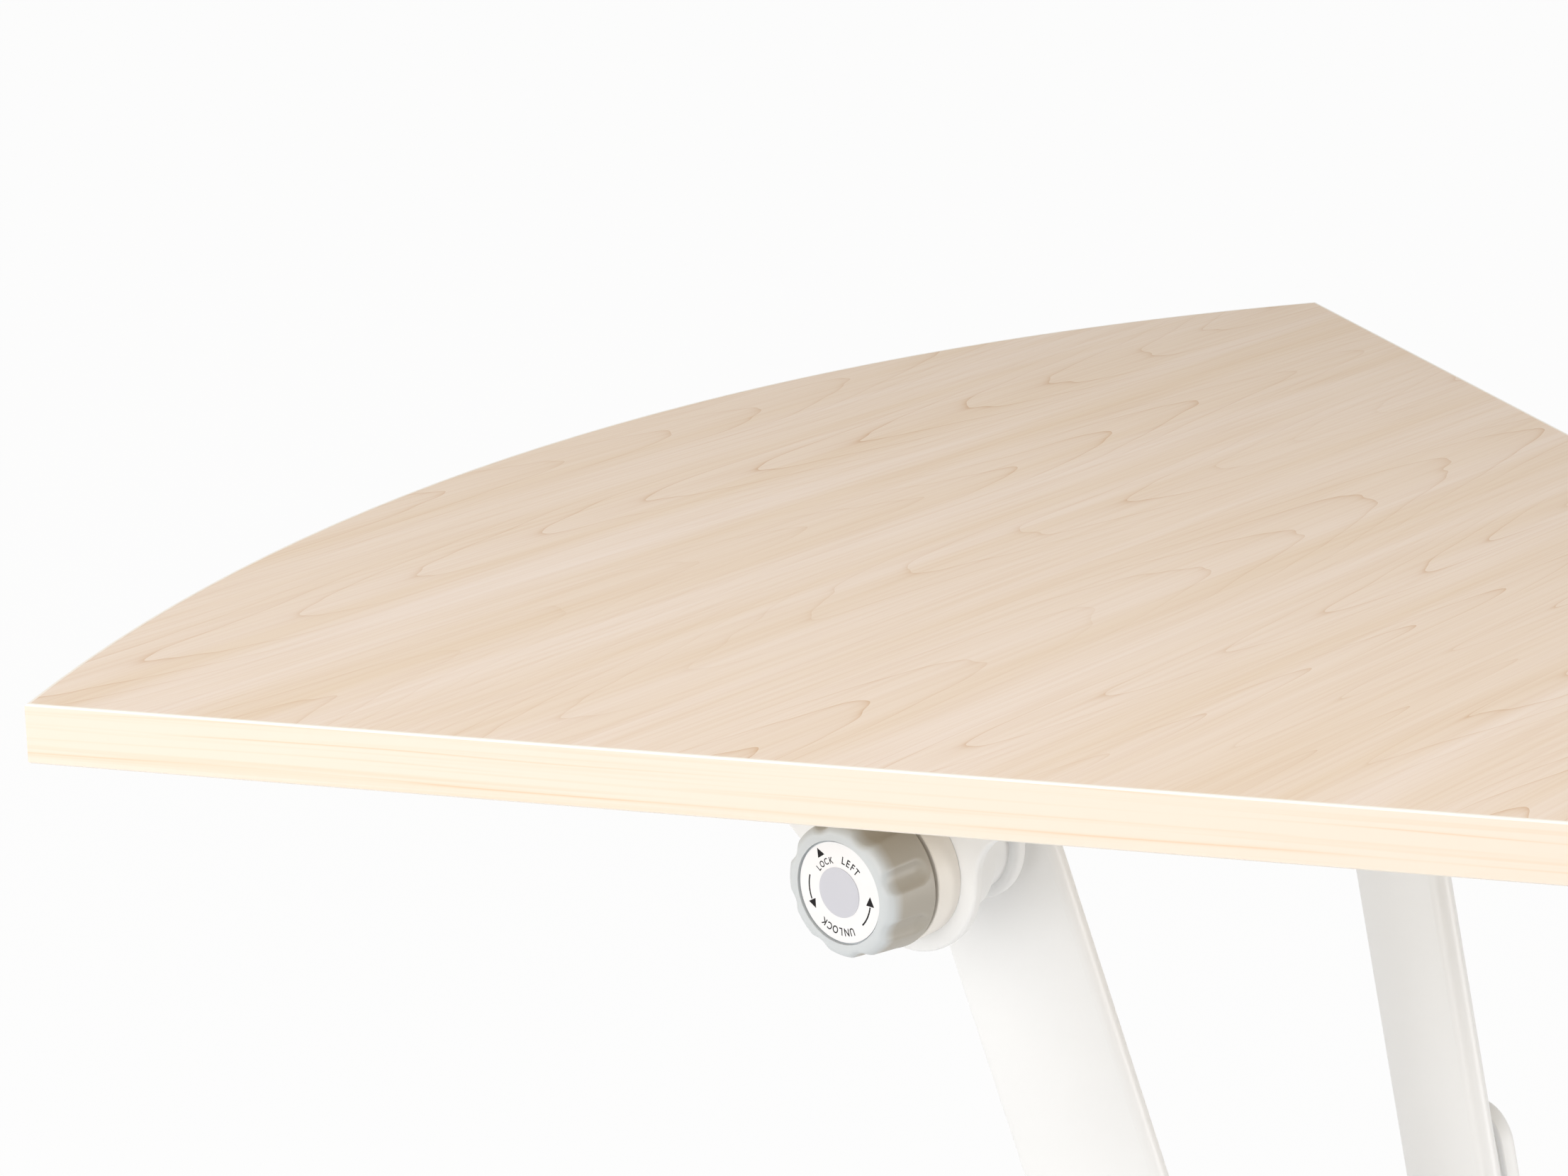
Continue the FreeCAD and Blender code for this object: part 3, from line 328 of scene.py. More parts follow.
    # The underside has a plain backing sheet
    skin_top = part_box("top_board")[0].z + MM
    under = add(tree, "ShaderNodeMath", {0: axes["Z"], 1: skin_top}, operation="LESS_THAN")
    whole = add(tree, "ShaderNodeMix", {
        0: under.outputs[0], 6: grain.outputs[2], 7: opaque(colours.backing),
    }, data_type="RGBA")
    tree.links.new(whole.outputs[2], shader.inputs["Base Color"])
    satin = add(tree, "ShaderNodeMapRange", {
        "Value": hairs.outputs[0], "To Min": MAPLE_GLOSS[0], "To Max": MAPLE_GLOSS[1],
    })
    tree.links.new(satin.outputs[0], shader.inputs["Roughness"])
    relief = add(tree, "ShaderNodeBump", {
        "Strength": HAIR_STRENGTH, "Distance": HAIR_DEPTH, "Height": hairs.outputs[0],
    })
    tree.links.new(relief.outputs[0], shader.inputs["Normal"])
    return material


# The print of the edge band. Scales are per metre along the two ways of the board and upwards
BAND_GLOSS = (0.4, 0.52)
BAND_LINE_GAP = 3.5 * MM
BAND_WANDER_SCALE = (3.0, 3.0, 60.0)
BAND_WANDER_LINES = 3.2
BAND_LINE_POWER = 9.0
BAND_LINE_SHARE = 0.5
BAND_PATCH_SCALE = (6.0, 6.0, 190.0)
BAND_PATCH_RANGE = (0.42, 0.7)
BAND_STREAK_SCALE = (3.0, 3.0, 380.0)
BAND_STREAK_RANGE = (0.5, 0.85)
BAND_STREAK_SHARE = 0.3
BAND_HIGHLIGHT_WIDTH = 0.85 * MM


def edge_band_abs(colours):
    """Extruded ABS edge band with a printed grain: cream, faint orange lines and a painted highlight on
    its edges.
    """
    material, tree, shader = new_finish("abs_edge_band_printed", colours.band_light, BAND_GLOSS[0])
    place = add(tree, "ShaderNodeTexCoord").outputs["Object"]
    height = add(tree, "ShaderNodeSeparateXYZ", {0: place}).outputs["Z"]
    # Lines about 7 mm apart that wander up and down over half a metre, strong in some stretches only
    slow = add(tree, "ShaderNodeMapping", {0: place, "Scale": BAND_WANDER_SCALE})
    drift = add(tree, "ShaderNodeTexNoise", {"Vector": slow.outputs[0], "Scale": 1.0, "Detail": 1.5})
    rows = add(tree, "ShaderNodeMath", {0: height, 1: 1 / BAND_LINE_GAP}, operation="MULTIPLY")
    rows = add(tree, "ShaderNodeMath", {
        0: drift.outputs[0], 1: BAND_WANDER_LINES, 2: rows.outputs[0],
    }, operation="MULTIPLY_ADD")
    ring = add(tree, "ShaderNodeMath", {0: rows.outputs[0], 1: 1.0}, operation="PINGPONG")
    line = add(tree, "ShaderNodeMath", {0: ring.outputs[0], 1: BAND_LINE_POWER}, operation="POWER")
    patch = add(tree, "ShaderNodeMapping", {0: place, "Scale": BAND_PATCH_SCALE})
    patch = add(tree, "ShaderNodeTexNoise", {"Vector": patch.outputs[0], "Scale": 1.0, "Detail": 1.0})
    seen = add(tree, "ShaderNodeMapRange", {
        "Value": patch.outputs[0], "From Min": BAND_PATCH_RANGE[0], "From Max": BAND_PATCH_RANGE[1],
    })
    line = add(tree, "ShaderNodeMath", {0: line.outputs[0], 1: seen.outputs[0]}, operation="MULTIPLY")
    # Soft streaks about 2 mm high between them
    long = add(tree, "ShaderNodeMapping", {0: place, "Scale": BAND_STREAK_SCALE})
    streaks = add(tree, "ShaderNodeTexNoise", {"Vector": long.outputs[0], "Scale": 1.0, "Detail": 2.0})
    soft = add(tree, "ShaderNodeMapRange", {
        "Value": streaks.outputs[0], "From Min": BAND_STREAK_RANGE[0], "From Max": BAND_STREAK_RANGE[1],
        "To Max": BAND_STREAK_SHARE,
    })
    strength = add(tree, "ShaderNodeMath", {
        0: line.outputs[0], 1: BAND_LINE_SHARE, 2: soft.outputs[0],
    }, operation="MULTIPLY_ADD")
    colour = add(tree, "ShaderNodeMix", {
        0: strength.outputs[0], 6: opaque(colours.band_light), 7: opaque(colours.band_streak),
    }, data_type="RGBA")
    # Painted highlight: the bevelled edges, under a millimetre high, are painted whiter
    low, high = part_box("edge_band_left")
    middle = (low.z + high.z) / 2
    printed = high.z - middle - BAND_HIGHLIGHT_WIDTH
    rise = add(tree, "ShaderNodeMath", {0: height, 1: middle}, operation="SUBTRACT")
    rise = add(tree, "ShaderNodeMath", {0: rise.outputs[0]}, operation="ABSOLUTE")
    edge_highlight = add(tree, "ShaderNodeMath", {0: rise.outputs[0], 1: printed}, operation="GREATER_THAN")
    whole = add(tree, "ShaderNodeMix", {
        0: edge_highlight.outputs[0], 6: colour.outputs[2], 7: opaque(colours.band_edge_highlight),
    }, data_type="RGBA")
    tree.links.new(whole.outputs[2], shader.inputs["Base Color"])
    satin = add(tree, "ShaderNodeMapRange", {
        "Value": streaks.outputs[0], "To Min": BAND_GLOSS[0], "To Max": BAND_GLOSS[1],
    })
    tree.links.new(satin.outputs[0], shader.inputs["Roughness"])
    return material


# Roughness, and the length and depth of the grit or waves that each process leaves
POWDER_COAT = (0.34, 1.4 * MM, 0.02 * MM)
COATED_WELD = (0.36, 2.0 * MM, 0.5 * MM)
MOULDED_ABS = (0.42, 0.6 * MM, 0.02 * MM)
MOULDED_KNOB = (0.38, 0.6 * MM, 0.02 * MM)
MOULDED_NYLON = (0.45, 0.7 * MM, 0.03 * MM)
TURNED_NYLON = (0.5, 0.5 * MM, 0.02 * MM)
PRESSED_FIBRE = (0.75, 0.8 * MM, 0.05 * MM)
LABEL_FILM = (0.3, 0.4 * MM, 0.005 * MM)
SCREEN_INK = (0.45, 0.3 * MM, 0.004 * MM)
ZINC_PLATE = (0.32, 0.5 * MM, 0.01 * MM)
SCREW_PLATE = (0.28, 0.4 * MM, 0.01 * MM)
INK_SHINE = 0.15

# The grit of those finishes. The clouds in their tone are about 70 mm wide
CLOUD_SCALE = 14.0
CLOUD_DARK = 0.955
GLOSS_BELOW = 0.05
GLOSS_ABOVE = 0.07
GRIT_STRENGTH = 0.25


def grained(name, colour, roughness, grit, depth, **sockets):
    """A finish with a fine even grit: colour and gloss vary a little, and fine bumps catch the light."""
    material, tree, shader = new_finish(name, colour, roughness, **sockets)
    place = add(tree, "ShaderNodeTexCoord").outputs["Object"]
    grit_noise = add(tree, "ShaderNodeTexNoise", {"Vector": place, "Scale": 1 / grit, "Detail": 2.0})
    cloud = add(tree, "ShaderNodeTexNoise", {"Vector": place, "Scale": CLOUD_SCALE, "Detail": 2.0})
    darker = tuple(value * CLOUD_DARK for value in colour)
    tone = add(tree, "ShaderNodeMix", {
        0: cloud.outputs[0], 6: opaque(colour), 7: opaque(darker),
    }, data_type="RGBA")
    tree.links.new(tone.outputs[2], shader.inputs["Base Color"])
    gloss = add(tree, "ShaderNodeMapRange", {
        "Value": grit_noise.outputs[0],
        "To Min": roughness - GLOSS_BELOW, "To Max": roughness + GLOSS_ABOVE,
    })
    tree.links.new(gloss.outputs[0], shader.inputs["Roughness"])
    relief = add(tree, "ShaderNodeBump", {
        "Strength": GRIT_STRENGTH, "Distance": depth, "Height": grit_noise.outputs[0],
    })
    tree.links.new(relief.outputs[0], shader.inputs["Normal"])
    return material


# The knob's pale front ends behind the rounded rim, and the painted shade on its side starts, between
# these two depths from the front
RIM_END = 2 * MM
SIDE_SHADE_START = 8 * MM


def knob_abs(colours):
    """Moulded grey ABS: a smooth pale front and rim, and a side painted darker and warmer as painted
    shade.
    """
    material = grained("abs_moulded_grey", colours.knob_grey, *MOULDED_KNOB)
    tree = material.node_tree
    base = tree.nodes["Principled BSDF"].inputs["Base Color"]
    place = add(tree, "ShaderNodeTexCoord").outputs["Object"]
    across = add(tree, "ShaderNodeSeparateXYZ", {0: place}).outputs["X"]
    outwards = add(tree, "ShaderNodeMath", {0: across}, operation="ABSOLUTE")
    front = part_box("knob_right")[1].x
    # Painted shade: past the rim the knob's side blends to the darker, warmer grey
    side_shade = add(tree, "ShaderNodeMapRange", {
        "Value": outwards.outputs[0], "From Min": front - RIM_END, "From Max": front - SIDE_SHADE_START,
    })
    whole = add(tree, "ShaderNodeMix", {
        0: side_shade.outputs[0], 6: base.links[0].from_socket, 7: opaque(colours.knob_side_shade),
    }, data_type="RGBA")
    tree.links.new(whole.outputs[2], base)
    return material


# The wheels: the tyre starts between these two ways from the axle and is scuffed in spots
TYRE_START = (20.8 * MM, 21.2 * MM)
WHEEL_GLOSS = (0.38, 0.6)
SCUFF_SCALE = 120.0
SCUFF_RANGE = (0.5, 0.8)
SCUFF_SHARE = 0.35
SCUFF_DEPTH = 0.03 * MM
SCUFF_STRENGTH = 0.2


def caster_wheel(colours, joint):
    """Nylon hub with a moulded polyurethane tyre: a paler satin middle and a dark, scuffed rim."""
    name = joint["name"] + "_nylon_polyurethane"
    material, tree, shader = new_finish(name, colours.caster_grey, WHEEL_GLOSS[0])
    place = add(tree, "ShaderNodeTexCoord").outputs["Object"]
    from_axle = add(tree, "ShaderNodeVectorMath", {
        0: place, 1: tuple(joint["pos_m"]),
    }, operation="SUBTRACT")
    off = add(tree, "ShaderNodeVectorMath", {
        0: from_axle.outputs[0], 1: tuple(joint["axis"]),
    }, operation="CROSS_PRODUCT")
    radius = add(tree, "ShaderNodeVectorMath", {0: off.outputs[0]}, operation="LENGTH").outputs["Value"]
    tyre = add(tree, "ShaderNodeMapRange", {
        "Value": radius, "From Min": TYRE_START[0], "From Max": TYRE_START[1],
    })
    scuff = add(tree, "ShaderNodeTexNoise", {"Vector": place, "Scale": SCUFF_SCALE, "Detail": 3.0})
    worn = add(tree, "ShaderNodeMapRange", {
        "Value": scuff.outputs[0], "From Min": SCUFF_RANGE[0], "From Max": SCUFF_RANGE[1],
        "To Max": SCUFF_SHARE,
    })
    tread = add(tree, "ShaderNodeMix", {
        0: worn.outputs[0], 6: opaque(colours.tread_grey), 7: opaque(colours.caster_grey),
    }, data_type="RGBA")
    whole = add(tree, "ShaderNodeMix", {
        0: tyre.outputs[0], 6: opaque(colours.caster_grey), 7: tread.outputs[2],
    }, data_type="RGBA")
    tree.links.new(whole.outputs[2], shader.inputs["Base Color"])
    gloss = add(tree, "ShaderNodeMapRange", {
        "Value": scuff.outputs[0], "To Min": WHEEL_GLOSS[0], "To Max": WHEEL_GLOSS[1],
    })
    tree.links.new(gloss.outputs[0], shader.inputs["Roughness"])
    relief = add(tree, "ShaderNodeBump", {
        "Strength": SCUFF_STRENGTH, "Distance": SCUFF_DEPTH, "Height": scuff.outputs[0],
    })
    tree.links.new(relief.outputs[0], shader.inputs["Normal"])
    return material


class DESK_OT_board(bpy.types.Operator):
    """Finishes the board and its edge bands"""

    bl_idname = "desk.board"
    bl_label = "Board and Edge Bands"

    def execute(self, context):
        colours, sizes = context.scene.desk_colours, context.scene.desk_sizes
        paint(maple_melamine(colours, sizes), "top_board")
        paint(edge_band_abs(colours), "edge_band")
        return {"FINISHED"}


class DESK_OT_frame(bpy.types.Operator):
    """Finishes the tubes, brackets and hubs in powder coat"""

    bl_idname = "desk.frame"
    bl_label = "Frame"

    def execute(self, context):
        colours = context.scene.desk_colours
        # Powder coat keeps a faint orange peel, with waves a little over a millimetre long
        powder = grained("powder_coat_semi_gloss", colours.powder_white, *POWDER_COAT)
        paint(powder, "leg_left", "leg_right", "foot_left", "foot_right", "hinge_", "cross_beam")
        return {"FINISHED"}


class DESK_OT_fittings(bpy.types.Operator):
    """Finishes the plastic and steel fittings"""

    bl_idname = "desk.fittings"
    bl_label = "Fittings"

    def execute(self, context):
        colours = context.scene.desk_colours
        # Spark-eroded moulds leave a fine matt grit on plastics
        white = grained("abs_moulded_white", colours.collar_white, *MOULDED_ABS)
        paint(white, "collar_", "leg_cap", "foot_caps", "nesting_bumper")
        paint(knob_abs(colours), "knob_left", "knob_right")
        film = grained("polyester_label_white", colours.dial_white, *LABEL_FILM)
        paint(film, "dial_ring")
        film = grained("polyester_label_grey", colours.disc_grey, *LABEL_FILM)
        paint(film, "dial_disc")
        grey = grained("nylon_moulded_grey", colours.caster_grey, *MOULDED_NYLON)
        paint(grey, "caster_inner_body", "caster_outer_body", "caster_outer_brake", "caster_sockets")
        for joint in frame["record"]["behaviour"]["joints"]:
            words = joint["name"].split("_")
            if words[0] == "wheels":
                paint(caster_wheel(colours, joint), "caster_{}_wheels_{}".format(*words[1:3]))
        fibre = grained("fibre_pressed_dark", colours.tread_grey, *PRESSED_FIBRE)
        paint(fibre, "friction_washers")
        nylon = grained("nylon_turned_natural", colours.collar_white, *TURNED_NYLON)
        paint(nylon, "pivot_bush")
        zinc = grained("steel_zinc_plated", colours.zinc, *ZINC_PLATE, Metallic=1.0)
        paint(
            zinc, "bracket_screws", "clamp_plate", "knob_insert", "spindle", "retaining_rings",
            "stop_pins", "caster_stems", "caster_inner_axle", "caster_outer_axle",
        )
        return {"FINISHED"}


def deselect():
    """Leaves nothing selected."""
    bpy.ops.object.select_all(action="DESELECT")


def copied(piece):
    """A copy of the piece, selected alone."""
    deselect()
    piece.select_set(True)
    bpy.context.view_layer.objects.active = piece
    bpy.ops.object.duplicate(linked=False)
    return bpy.context.object


def choose(piece, test):
    """Opens the piece in edit mode with only the points selected that pass the test."""
    bpy.ops.object.mode_set(mode="EDIT")
    bpy.ops.mesh.select_mode(type="VERT")
    bpy.ops.mesh.select_all(action="DESELECT")
    bpy.ops.object.mode_set(mode="OBJECT")
    for corner in piece.data.vertices:
        corner.select = test(corner.co)
    bpy.ops.object.mode_set(mode="EDIT")


def joined(pieces, name):
    """The pieces as one, with its place in its mesh."""
    deselect()
    for piece in pieces:
        piece.select_set(True)
    bpy.context.view_layer.objects.active = pieces[0]
    if len(pieces) > 1:
        bpy.ops.object.join()
    whole = bpy.context.object
    whole.name = name
    bpy.ops.object.transform_apply(location=True, rotation=True, scale=True)
    return whole


def dial_frame(side):
    """The dial's own axes from the middle of its face: to its reader's right, up, and out."""
    low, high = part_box("dial_ring_" + side)
    out = -1 if side == "left" else 1
    face = low.x if side == "left" else high.x
    middle = (low + high) / 2
    return Matrix((
        (0, 0, out, face),
        (out, 0, 0, middle.y),
        (0, 1, 0, middle.z),
        (0, 0, 0, 1),
    ))


# The letters: height of a capital as a share of the font's size, their narrowing, and the share of their
# height that makes their strokes bolder
CAPITAL_SHARE = 0.69
LETTER_NARROW = 0.82
LETTER_BOLD = 1 / 45

# The print of the left dial: ways from its middle, and degrees clockwise from the top
LOCK_WORD = {"radius": 14.9 * MM, "middle": -38.0, "step": 11.7}
SIDE_WORD = {"radius": 15.8 * MM, "middle": 23.2, "step": 10.4}
UNLOCK_WORD = {"radius": 18.5 * MM, "middle": 182.0, "step": 10.5}
LOCK_ARROW = {"radius": 17.9 * MM, "begin": -79.0, "end": -116.0, "tip": -129.5}
UNLOCK_ARROW = {"radius": 18.0 * MM, "begin": 130.0, "end": 95.5, "tip": 81.0}
POINTER = {"angle": -37.0, "base": 18.0 * MM, "tip": 22.1 * MM, "half_width": 2.3 * MM}


def clock(radius, degrees):
    """A point on the dial, by its radius and its angle clockwise from the top."""
    turn = math.radians(degrees)
    return Vector((radius * math.sin(turn), radius * math.cos(turn), 0.0))


def dial_letter(letter, radius, degrees, height, thick):
    """One letter on the dial, its top outwards."""
    deselect()
    bpy.ops.object.text_add()
    piece = bpy.context.object
    piece.data.body = letter
    piece.data.size = height / CAPITAL_SHARE
    piece.data.align_x = "CENTER"
    piece.data.extrude = thick / 2
    piece.data.offset = height * LETTER_BOLD
    piece.data.resolution_u = 6
    bpy.ops.object.convert(target="MESH")
    turn = Matrix.Rotation(-math.radians(degrees), 4, "Z")
    narrow = Matrix.Diagonal((LETTER_NARROW, 1.0, 1.0, 1.0))
    piece.matrix_world = Matrix.Translation(clock(radius - height / 2, degrees)) @ turn @ narrow
    bpy.ops.object.transform_apply(location=True, rotation=True, scale=True)
    return piece


def dial_word(word, spot, hand, height, thick):
    """A word round the dial, read clockwise, centred at an angle."""
    radius, step = spot["radius"], spot["step"]
    first = spot["middle"] * hand - step * (len(word) - 1) / 2
    return [dial_letter(word[i], radius, first + step * i, height, thick) for i in range(len(word))]


def dial_stroke(radius, begin, end, width, thick):
    """A curved stroke round the dial, spun from one short edge."""
    deselect()
    turn = (0, 0, -math.radians(begin))
    bpy.ops.mesh.primitive_plane_add(size=width, location=clock(radius, begin), rotation=turn)
    piece = bpy.context.object
    choose(piece, lambda spot: spot.x < 0)
    bpy.ops.mesh.delete(type="VERT")
    bpy.ops.object.mode_set(mode="OBJECT")
    bpy.ops.object.transform_apply(location=True, rotation=True, scale=True)
    bpy.ops.object.mode_set(mode="EDIT")
    bpy.ops.mesh.select_all(action="SELECT")
    bpy.ops.mesh.spin(steps=14, angle=math.radians(end - begin), center=(0, 0, 0), axis=(0, 0, 1))
    bpy.ops.object.mode_set(mode="OBJECT")
    return thickened(piece, thick)


def dial_triangle(base, tip, half_width, thick):
    """A solid triangle on the dial, from the middle of its base to its tip."""
    deselect()
    bpy.ops.mesh.primitive_circle_add(vertices=3, radius=1.0, fill_type="NGON")
    piece = bpy.context.object
    way = tip - base
    turn = Matrix.Rotation(math.atan2(-way.x, way.y), 4, "Z")
    size = Matrix.Diagonal((half_width / math.cos(math.pi / 6), way.length / 1.5, 1.0, 1.0))
    piece.matrix_world = Matrix.Translation(base + way / 3) @ turn @ size
    bpy.ops.object.transform_apply(location=True, rotation=True, scale=True)
    return thickened(piece, thick)


def dial_arrow(spot, hand, sizes):
    """A curved arrow round the dial."""
    radius = spot["radius"]
    end = spot["end"] * hand
    tip = clock(radius, spot["tip"] * hand)
    head = dial_triangle(clock(radius, end), tip, sizes.arrow_head / 2, sizes.ink_thick)
    return [dial_stroke(radius, spot["begin"] * hand, end, sizes.stroke, sizes.ink_thick), head]


def thickened(piece, thick):
    """The flat piece with a thickness to both sides."""
    made = piece.modifiers.new("thickness", "SOLIDIFY")
    made.thickness = thick
    made.offset = 0.0
    bpy.ops.object.modifier_apply(modifier=made.name)
    bpy.ops.object.mode_set(mode="EDIT")
    bpy.ops.mesh.select_all(action="SELECT")
    bpy.ops.mesh.normals_make_consistent(inside=False)
    bpy.ops.object.mode_set(mode="OBJECT")
    return piece


class DESK_OT_dial_print(bpy.types.Operator):
    """Prints the words and arrows on the two dials"""

    bl_idname = "desk.dial_print"
    bl_label = "Dial Print"

    def execute(self, context):
        sizes, colours = context.scene.desk_sizes, context.scene.desk_colours
        ink = grained("screen_ink_black", colours.ink, *SCREEN_INK, Specular_IOR_Level=INK_SHINE)
        height, thick = sizes.letter_height, sizes.ink_thick
        for side in SIDES:
            # The right dial is the left one's mirror image, apart from its letters
            hand = 1 if side == "left" else -1
            marks = dial_word("LOCK", LOCK_WORD, hand, sizes.pointed_height, thick)
            marks += dial_word(side.upper(), SIDE_WORD, hand, height, thick)
            marks += dial_word("UNLOCK", UNLOCK_WORD, hand, height, thick)
            marks += dial_arrow(LOCK_ARROW, hand, sizes)
            marks += dial_arrow(UNLOCK_ARROW, hand, sizes)
            base = clock(POINTER["base"], POINTER["angle"] * hand)
            tip = clock(POINTER["tip"], POINTER["angle"] * hand)
            marks.append(dial_triangle(base, tip, POINTER["half_width"], thick))
            printed = joined(marks, "dial_print_" + side)
            printed.matrix_world = dial_frame(side)
            bpy.ops.object.transform_apply(location=True, rotation=True, scale=True)
            coat(printed, ink)
            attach(printed, "knob_" + side)
        return {"FINISHED"}


# A screw's head: shares of its height for bevel and recess depth, shares of its radius for the recess's
# length and width, and the turn of each screw in radians per metre of its place
HEAD_BEVEL = 0.55
RECESS_DEPTH = 1.1
RECESS_LENGTH = 1.05
RECESS_WIDTH = 0.24
SCREW_TURN = 40


def screw_head(sizes):
    """A pan head, seen from below: a bevelled disc with a cross recess."""
    deselect()
    radius, height = sizes.screw_head / 2, sizes.screw_height
    bpy.ops.mesh.primitive_cylinder_add(
        vertices=32, radius=radius, depth=height, location=(0, 0, -height / 2)
    )
    head = bpy.context.object
    bpy.ops.object.transform_apply(location=True, rotation=True, scale=True)
    choose(head, lambda spot: spot.z < -height / 2)
    bpy.ops.mesh.bevel(offset=height * HEAD_BEVEL, segments=4, affect="EDGES")
    bpy.ops.object.mode_set(mode="OBJECT")
    for turn in (0.0, math.pi / 2):
        deselect()
        bpy.ops.mesh.primitive_cube_add(size=1.0, location=(0, 0, -height), rotation=(0, 0, turn))
        slot = bpy.context.object
        slot.scale = (radius * RECESS_LENGTH, radius * RECESS_WIDTH, height * RECESS_DEPTH)
        bpy.ops.object.transform_apply(location=True, rotation=True, scale=True)
        deselect()
        head.select_set(True)
        bpy.context.view_layer.objects.active = head
        cut = head.modifiers.new("recess", "BOOLEAN")
        cut.operation = "DIFFERENCE"
        cut.object = slot
        bpy.ops.object.modifier_apply(modifier=cut.name)
        bpy.data.objects.remove(slot)
    bpy.ops.object.shade_smooth_by_angle(angle=SMOOTH_ANGLE)
    return head


class DESK_OT_screws(bpy.types.Operator):
    """Models the screws that hold the hinge brackets to the board"""

    bl_idname = "desk.screws"
    bl_label = "Bracket Screws"

    def execute(self, context):
        sizes, colours = context.scene.desk_sizes, context.scene.desk_colours
        low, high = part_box("bracket_screws")
        edge = sizes.screw_head / 2
        seat = low.z + sizes.screw_height
        first = screw_head(sizes)
        heads = []
        for hand in (-1, 1):
            for x in (high.x - edge, high.x - edge - sizes.screw_gap):
                for y in (low.y + edge, high.y - edge):
                    head = copied(first)
                    # No two screws stop at the same turn
                    turn = Matrix.Rotation(SCREW_TURN * (x + hand * y), 4, "Z")
                    head.matrix_world = Matrix.Translation((hand * x, y, seat)) @ turn
                    heads.append(head)
        bpy.data.objects.remove(first)
        screws = joined(heads, "bracket_screw_heads")
        zinc = grained("steel_zinc_plated_screw", colours.zinc, *SCREW_PLATE, Metallic=1.0)
        coat(screws, zinc)
        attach(screws, "top")
        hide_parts("bracket_screws")
        return {"FINISHED"}


# The beads' cut lies just above the leg's end face, because on the face it would keep the face too
WELD_CUT = 0.5 * MM
CUT_THRESHOLD = 0.001 * MM


def weld_bead(side, height, size):
    """A bead along the outline of the leg where it meets the foot."""
    bead = copied(frame["nodes"]["leg_" + side])
    bpy.ops.object.mode_set(mode="EDIT")
    bpy.ops.mesh.select_all(action="SELECT")
    bpy.ops.mesh.remove_doubles(threshold=TOUCH)
    bpy.ops.mesh.bisect(
        plane_co=(0, 0, height + WELD_CUT), plane_no=(0, 0, 1), clear_inner=True, clear_outer=True,
        threshold=CUT_THRESHOLD,
    )
    bpy.ops.object.mode_set(mode="OBJECT")
    # It leaves the tube's outer and inner outline, and the bead follows the outer one
    reach = max(corner.co.y for corner in bead.data.vertices)
    choose(bead, lambda spot: spot.y > reach - TOUCH)
    bpy.ops.mesh.select_linked()
    bpy.ops.mesh.select_all(action="INVERT")
    bpy.ops.mesh.delete(type="VERT")
    bpy.ops.object.mode_set(mode="OBJECT")
    bpy.ops.object.convert(target="CURVE")
    bead.data.bevel_depth = size / 2
    bead.data.bevel_resolution = 3
    bpy.ops.object.convert(target="MESH")
    bpy.ops.object.shade_smooth()
    return bead


class DESK_OT_welds(bpy.types.Operator):
    """Models the weld beads between the legs and the feet"""

    bl_idname = "desk.welds"
    bl_label = "Weld Beads"

    def execute(self, context):
        sizes, colours = context.scene.desk_sizes, context.scene.desk_colours
        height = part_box("foot_left")[1].z
        beads = joined([weld_bead(side, height, sizes.weld) for side in SIDES], "leg_weld_beads")
        # The coat lies over the ripples of the bead, which are about 2 mm long
        powder = grained("powder_coat_over_weld", colours.powder_white, *COATED_WELD)
        coat(beads, powder)
        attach(beads, "frame")
        return {"FINISHED"}


def slot_prism(width, length, low, high):
    """A block with round ends, lying along Y, from one height to another."""
    deselect()
    bpy.ops.mesh.primitive_circle_add(
        vertices=62, radius=width / 2, fill_type="NGON", location=(0, 0, low)
    )
    block = bpy.context.object
    bpy.ops.object.transform_apply(location=True, rotation=True, scale=True)
    for hand in (-1, 1):
        choose(block, lambda spot: spot.y * hand > 0)
        bpy.ops.transform.translate(value=(0, hand * (length - width) / 2, 0))
        bpy.ops.object.mode_set(mode="OBJECT")
    bpy.ops.object.mode_set(mode="EDIT")
    bpy.ops.mesh.select_all(action="SELECT")
    bpy.ops.mesh.extrude_region_move(TRANSFORM_OT_translate={"value": (0, 0, high - low)})
    bpy.ops.mesh.select_all(action="SELECT")
    bpy.ops.mesh.normals_make_consistent(inside=False)
    bpy.ops.object.mode_set(mode="OBJECT")
    return block


def nesting_pad(sizes):
    """A long pad with round ends and a soft rim that overhangs a slim foot."""
    overhang = 2 * sizes.pad_gap
    foot = slot_prism(sizes.pad_width - overhang, sizes.pad_length - overhang, 0.0, sizes.pad_foot + MM)
    cover = slot_prism(sizes.pad_width, sizes.pad_length, sizes.pad_foot, sizes.pad_proud)
    for rim, offset in ((sizes.pad_proud, sizes.pad_round), (sizes.pad_foot, sizes.pad_round / 5)):
        choose(cover, lambda spot: abs(spot.z - rim) < TOUCH)
        bpy.ops.mesh.bevel(offset=offset, segments=6, affect="EDGES")
        bpy.ops.object.mode_set(mode="OBJECT")
    pad = joined([cover, foot], "nesting_pad")
    bpy.ops.object.shade_smooth_by_angle(angle=SMOOTH_ANGLE)
    return pad


def pad_seat(side, sizes):
    """The axes of a pad on the outer face of its leg: across the face, up the leg and out."""
    hand = -1 if side == "left" else 1
    lean, splay = sizes.leg_lean, sizes.leg_splay
    reach = math.sin(lean)
    up = Vector((hand * reach * math.sin(splay), reach * math.cos(splay), math.cos(lean)))
    out = Vector((hand * math.cos(splay), -math.sin(splay), 0.0))
    bumper = frame["nodes"]["nesting_bumper_" + side]
    low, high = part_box("nesting_bumper_" + side)
    middle = (low + high) / 2
    face = min(out.dot(corner.co) for corner in bumper.data.vertices)
    place = middle + out * (face - out.dot(middle))
    seat = Matrix((up.cross(out), up, out)).transposed().to_4x4()
    seat.translation = place
    return seat


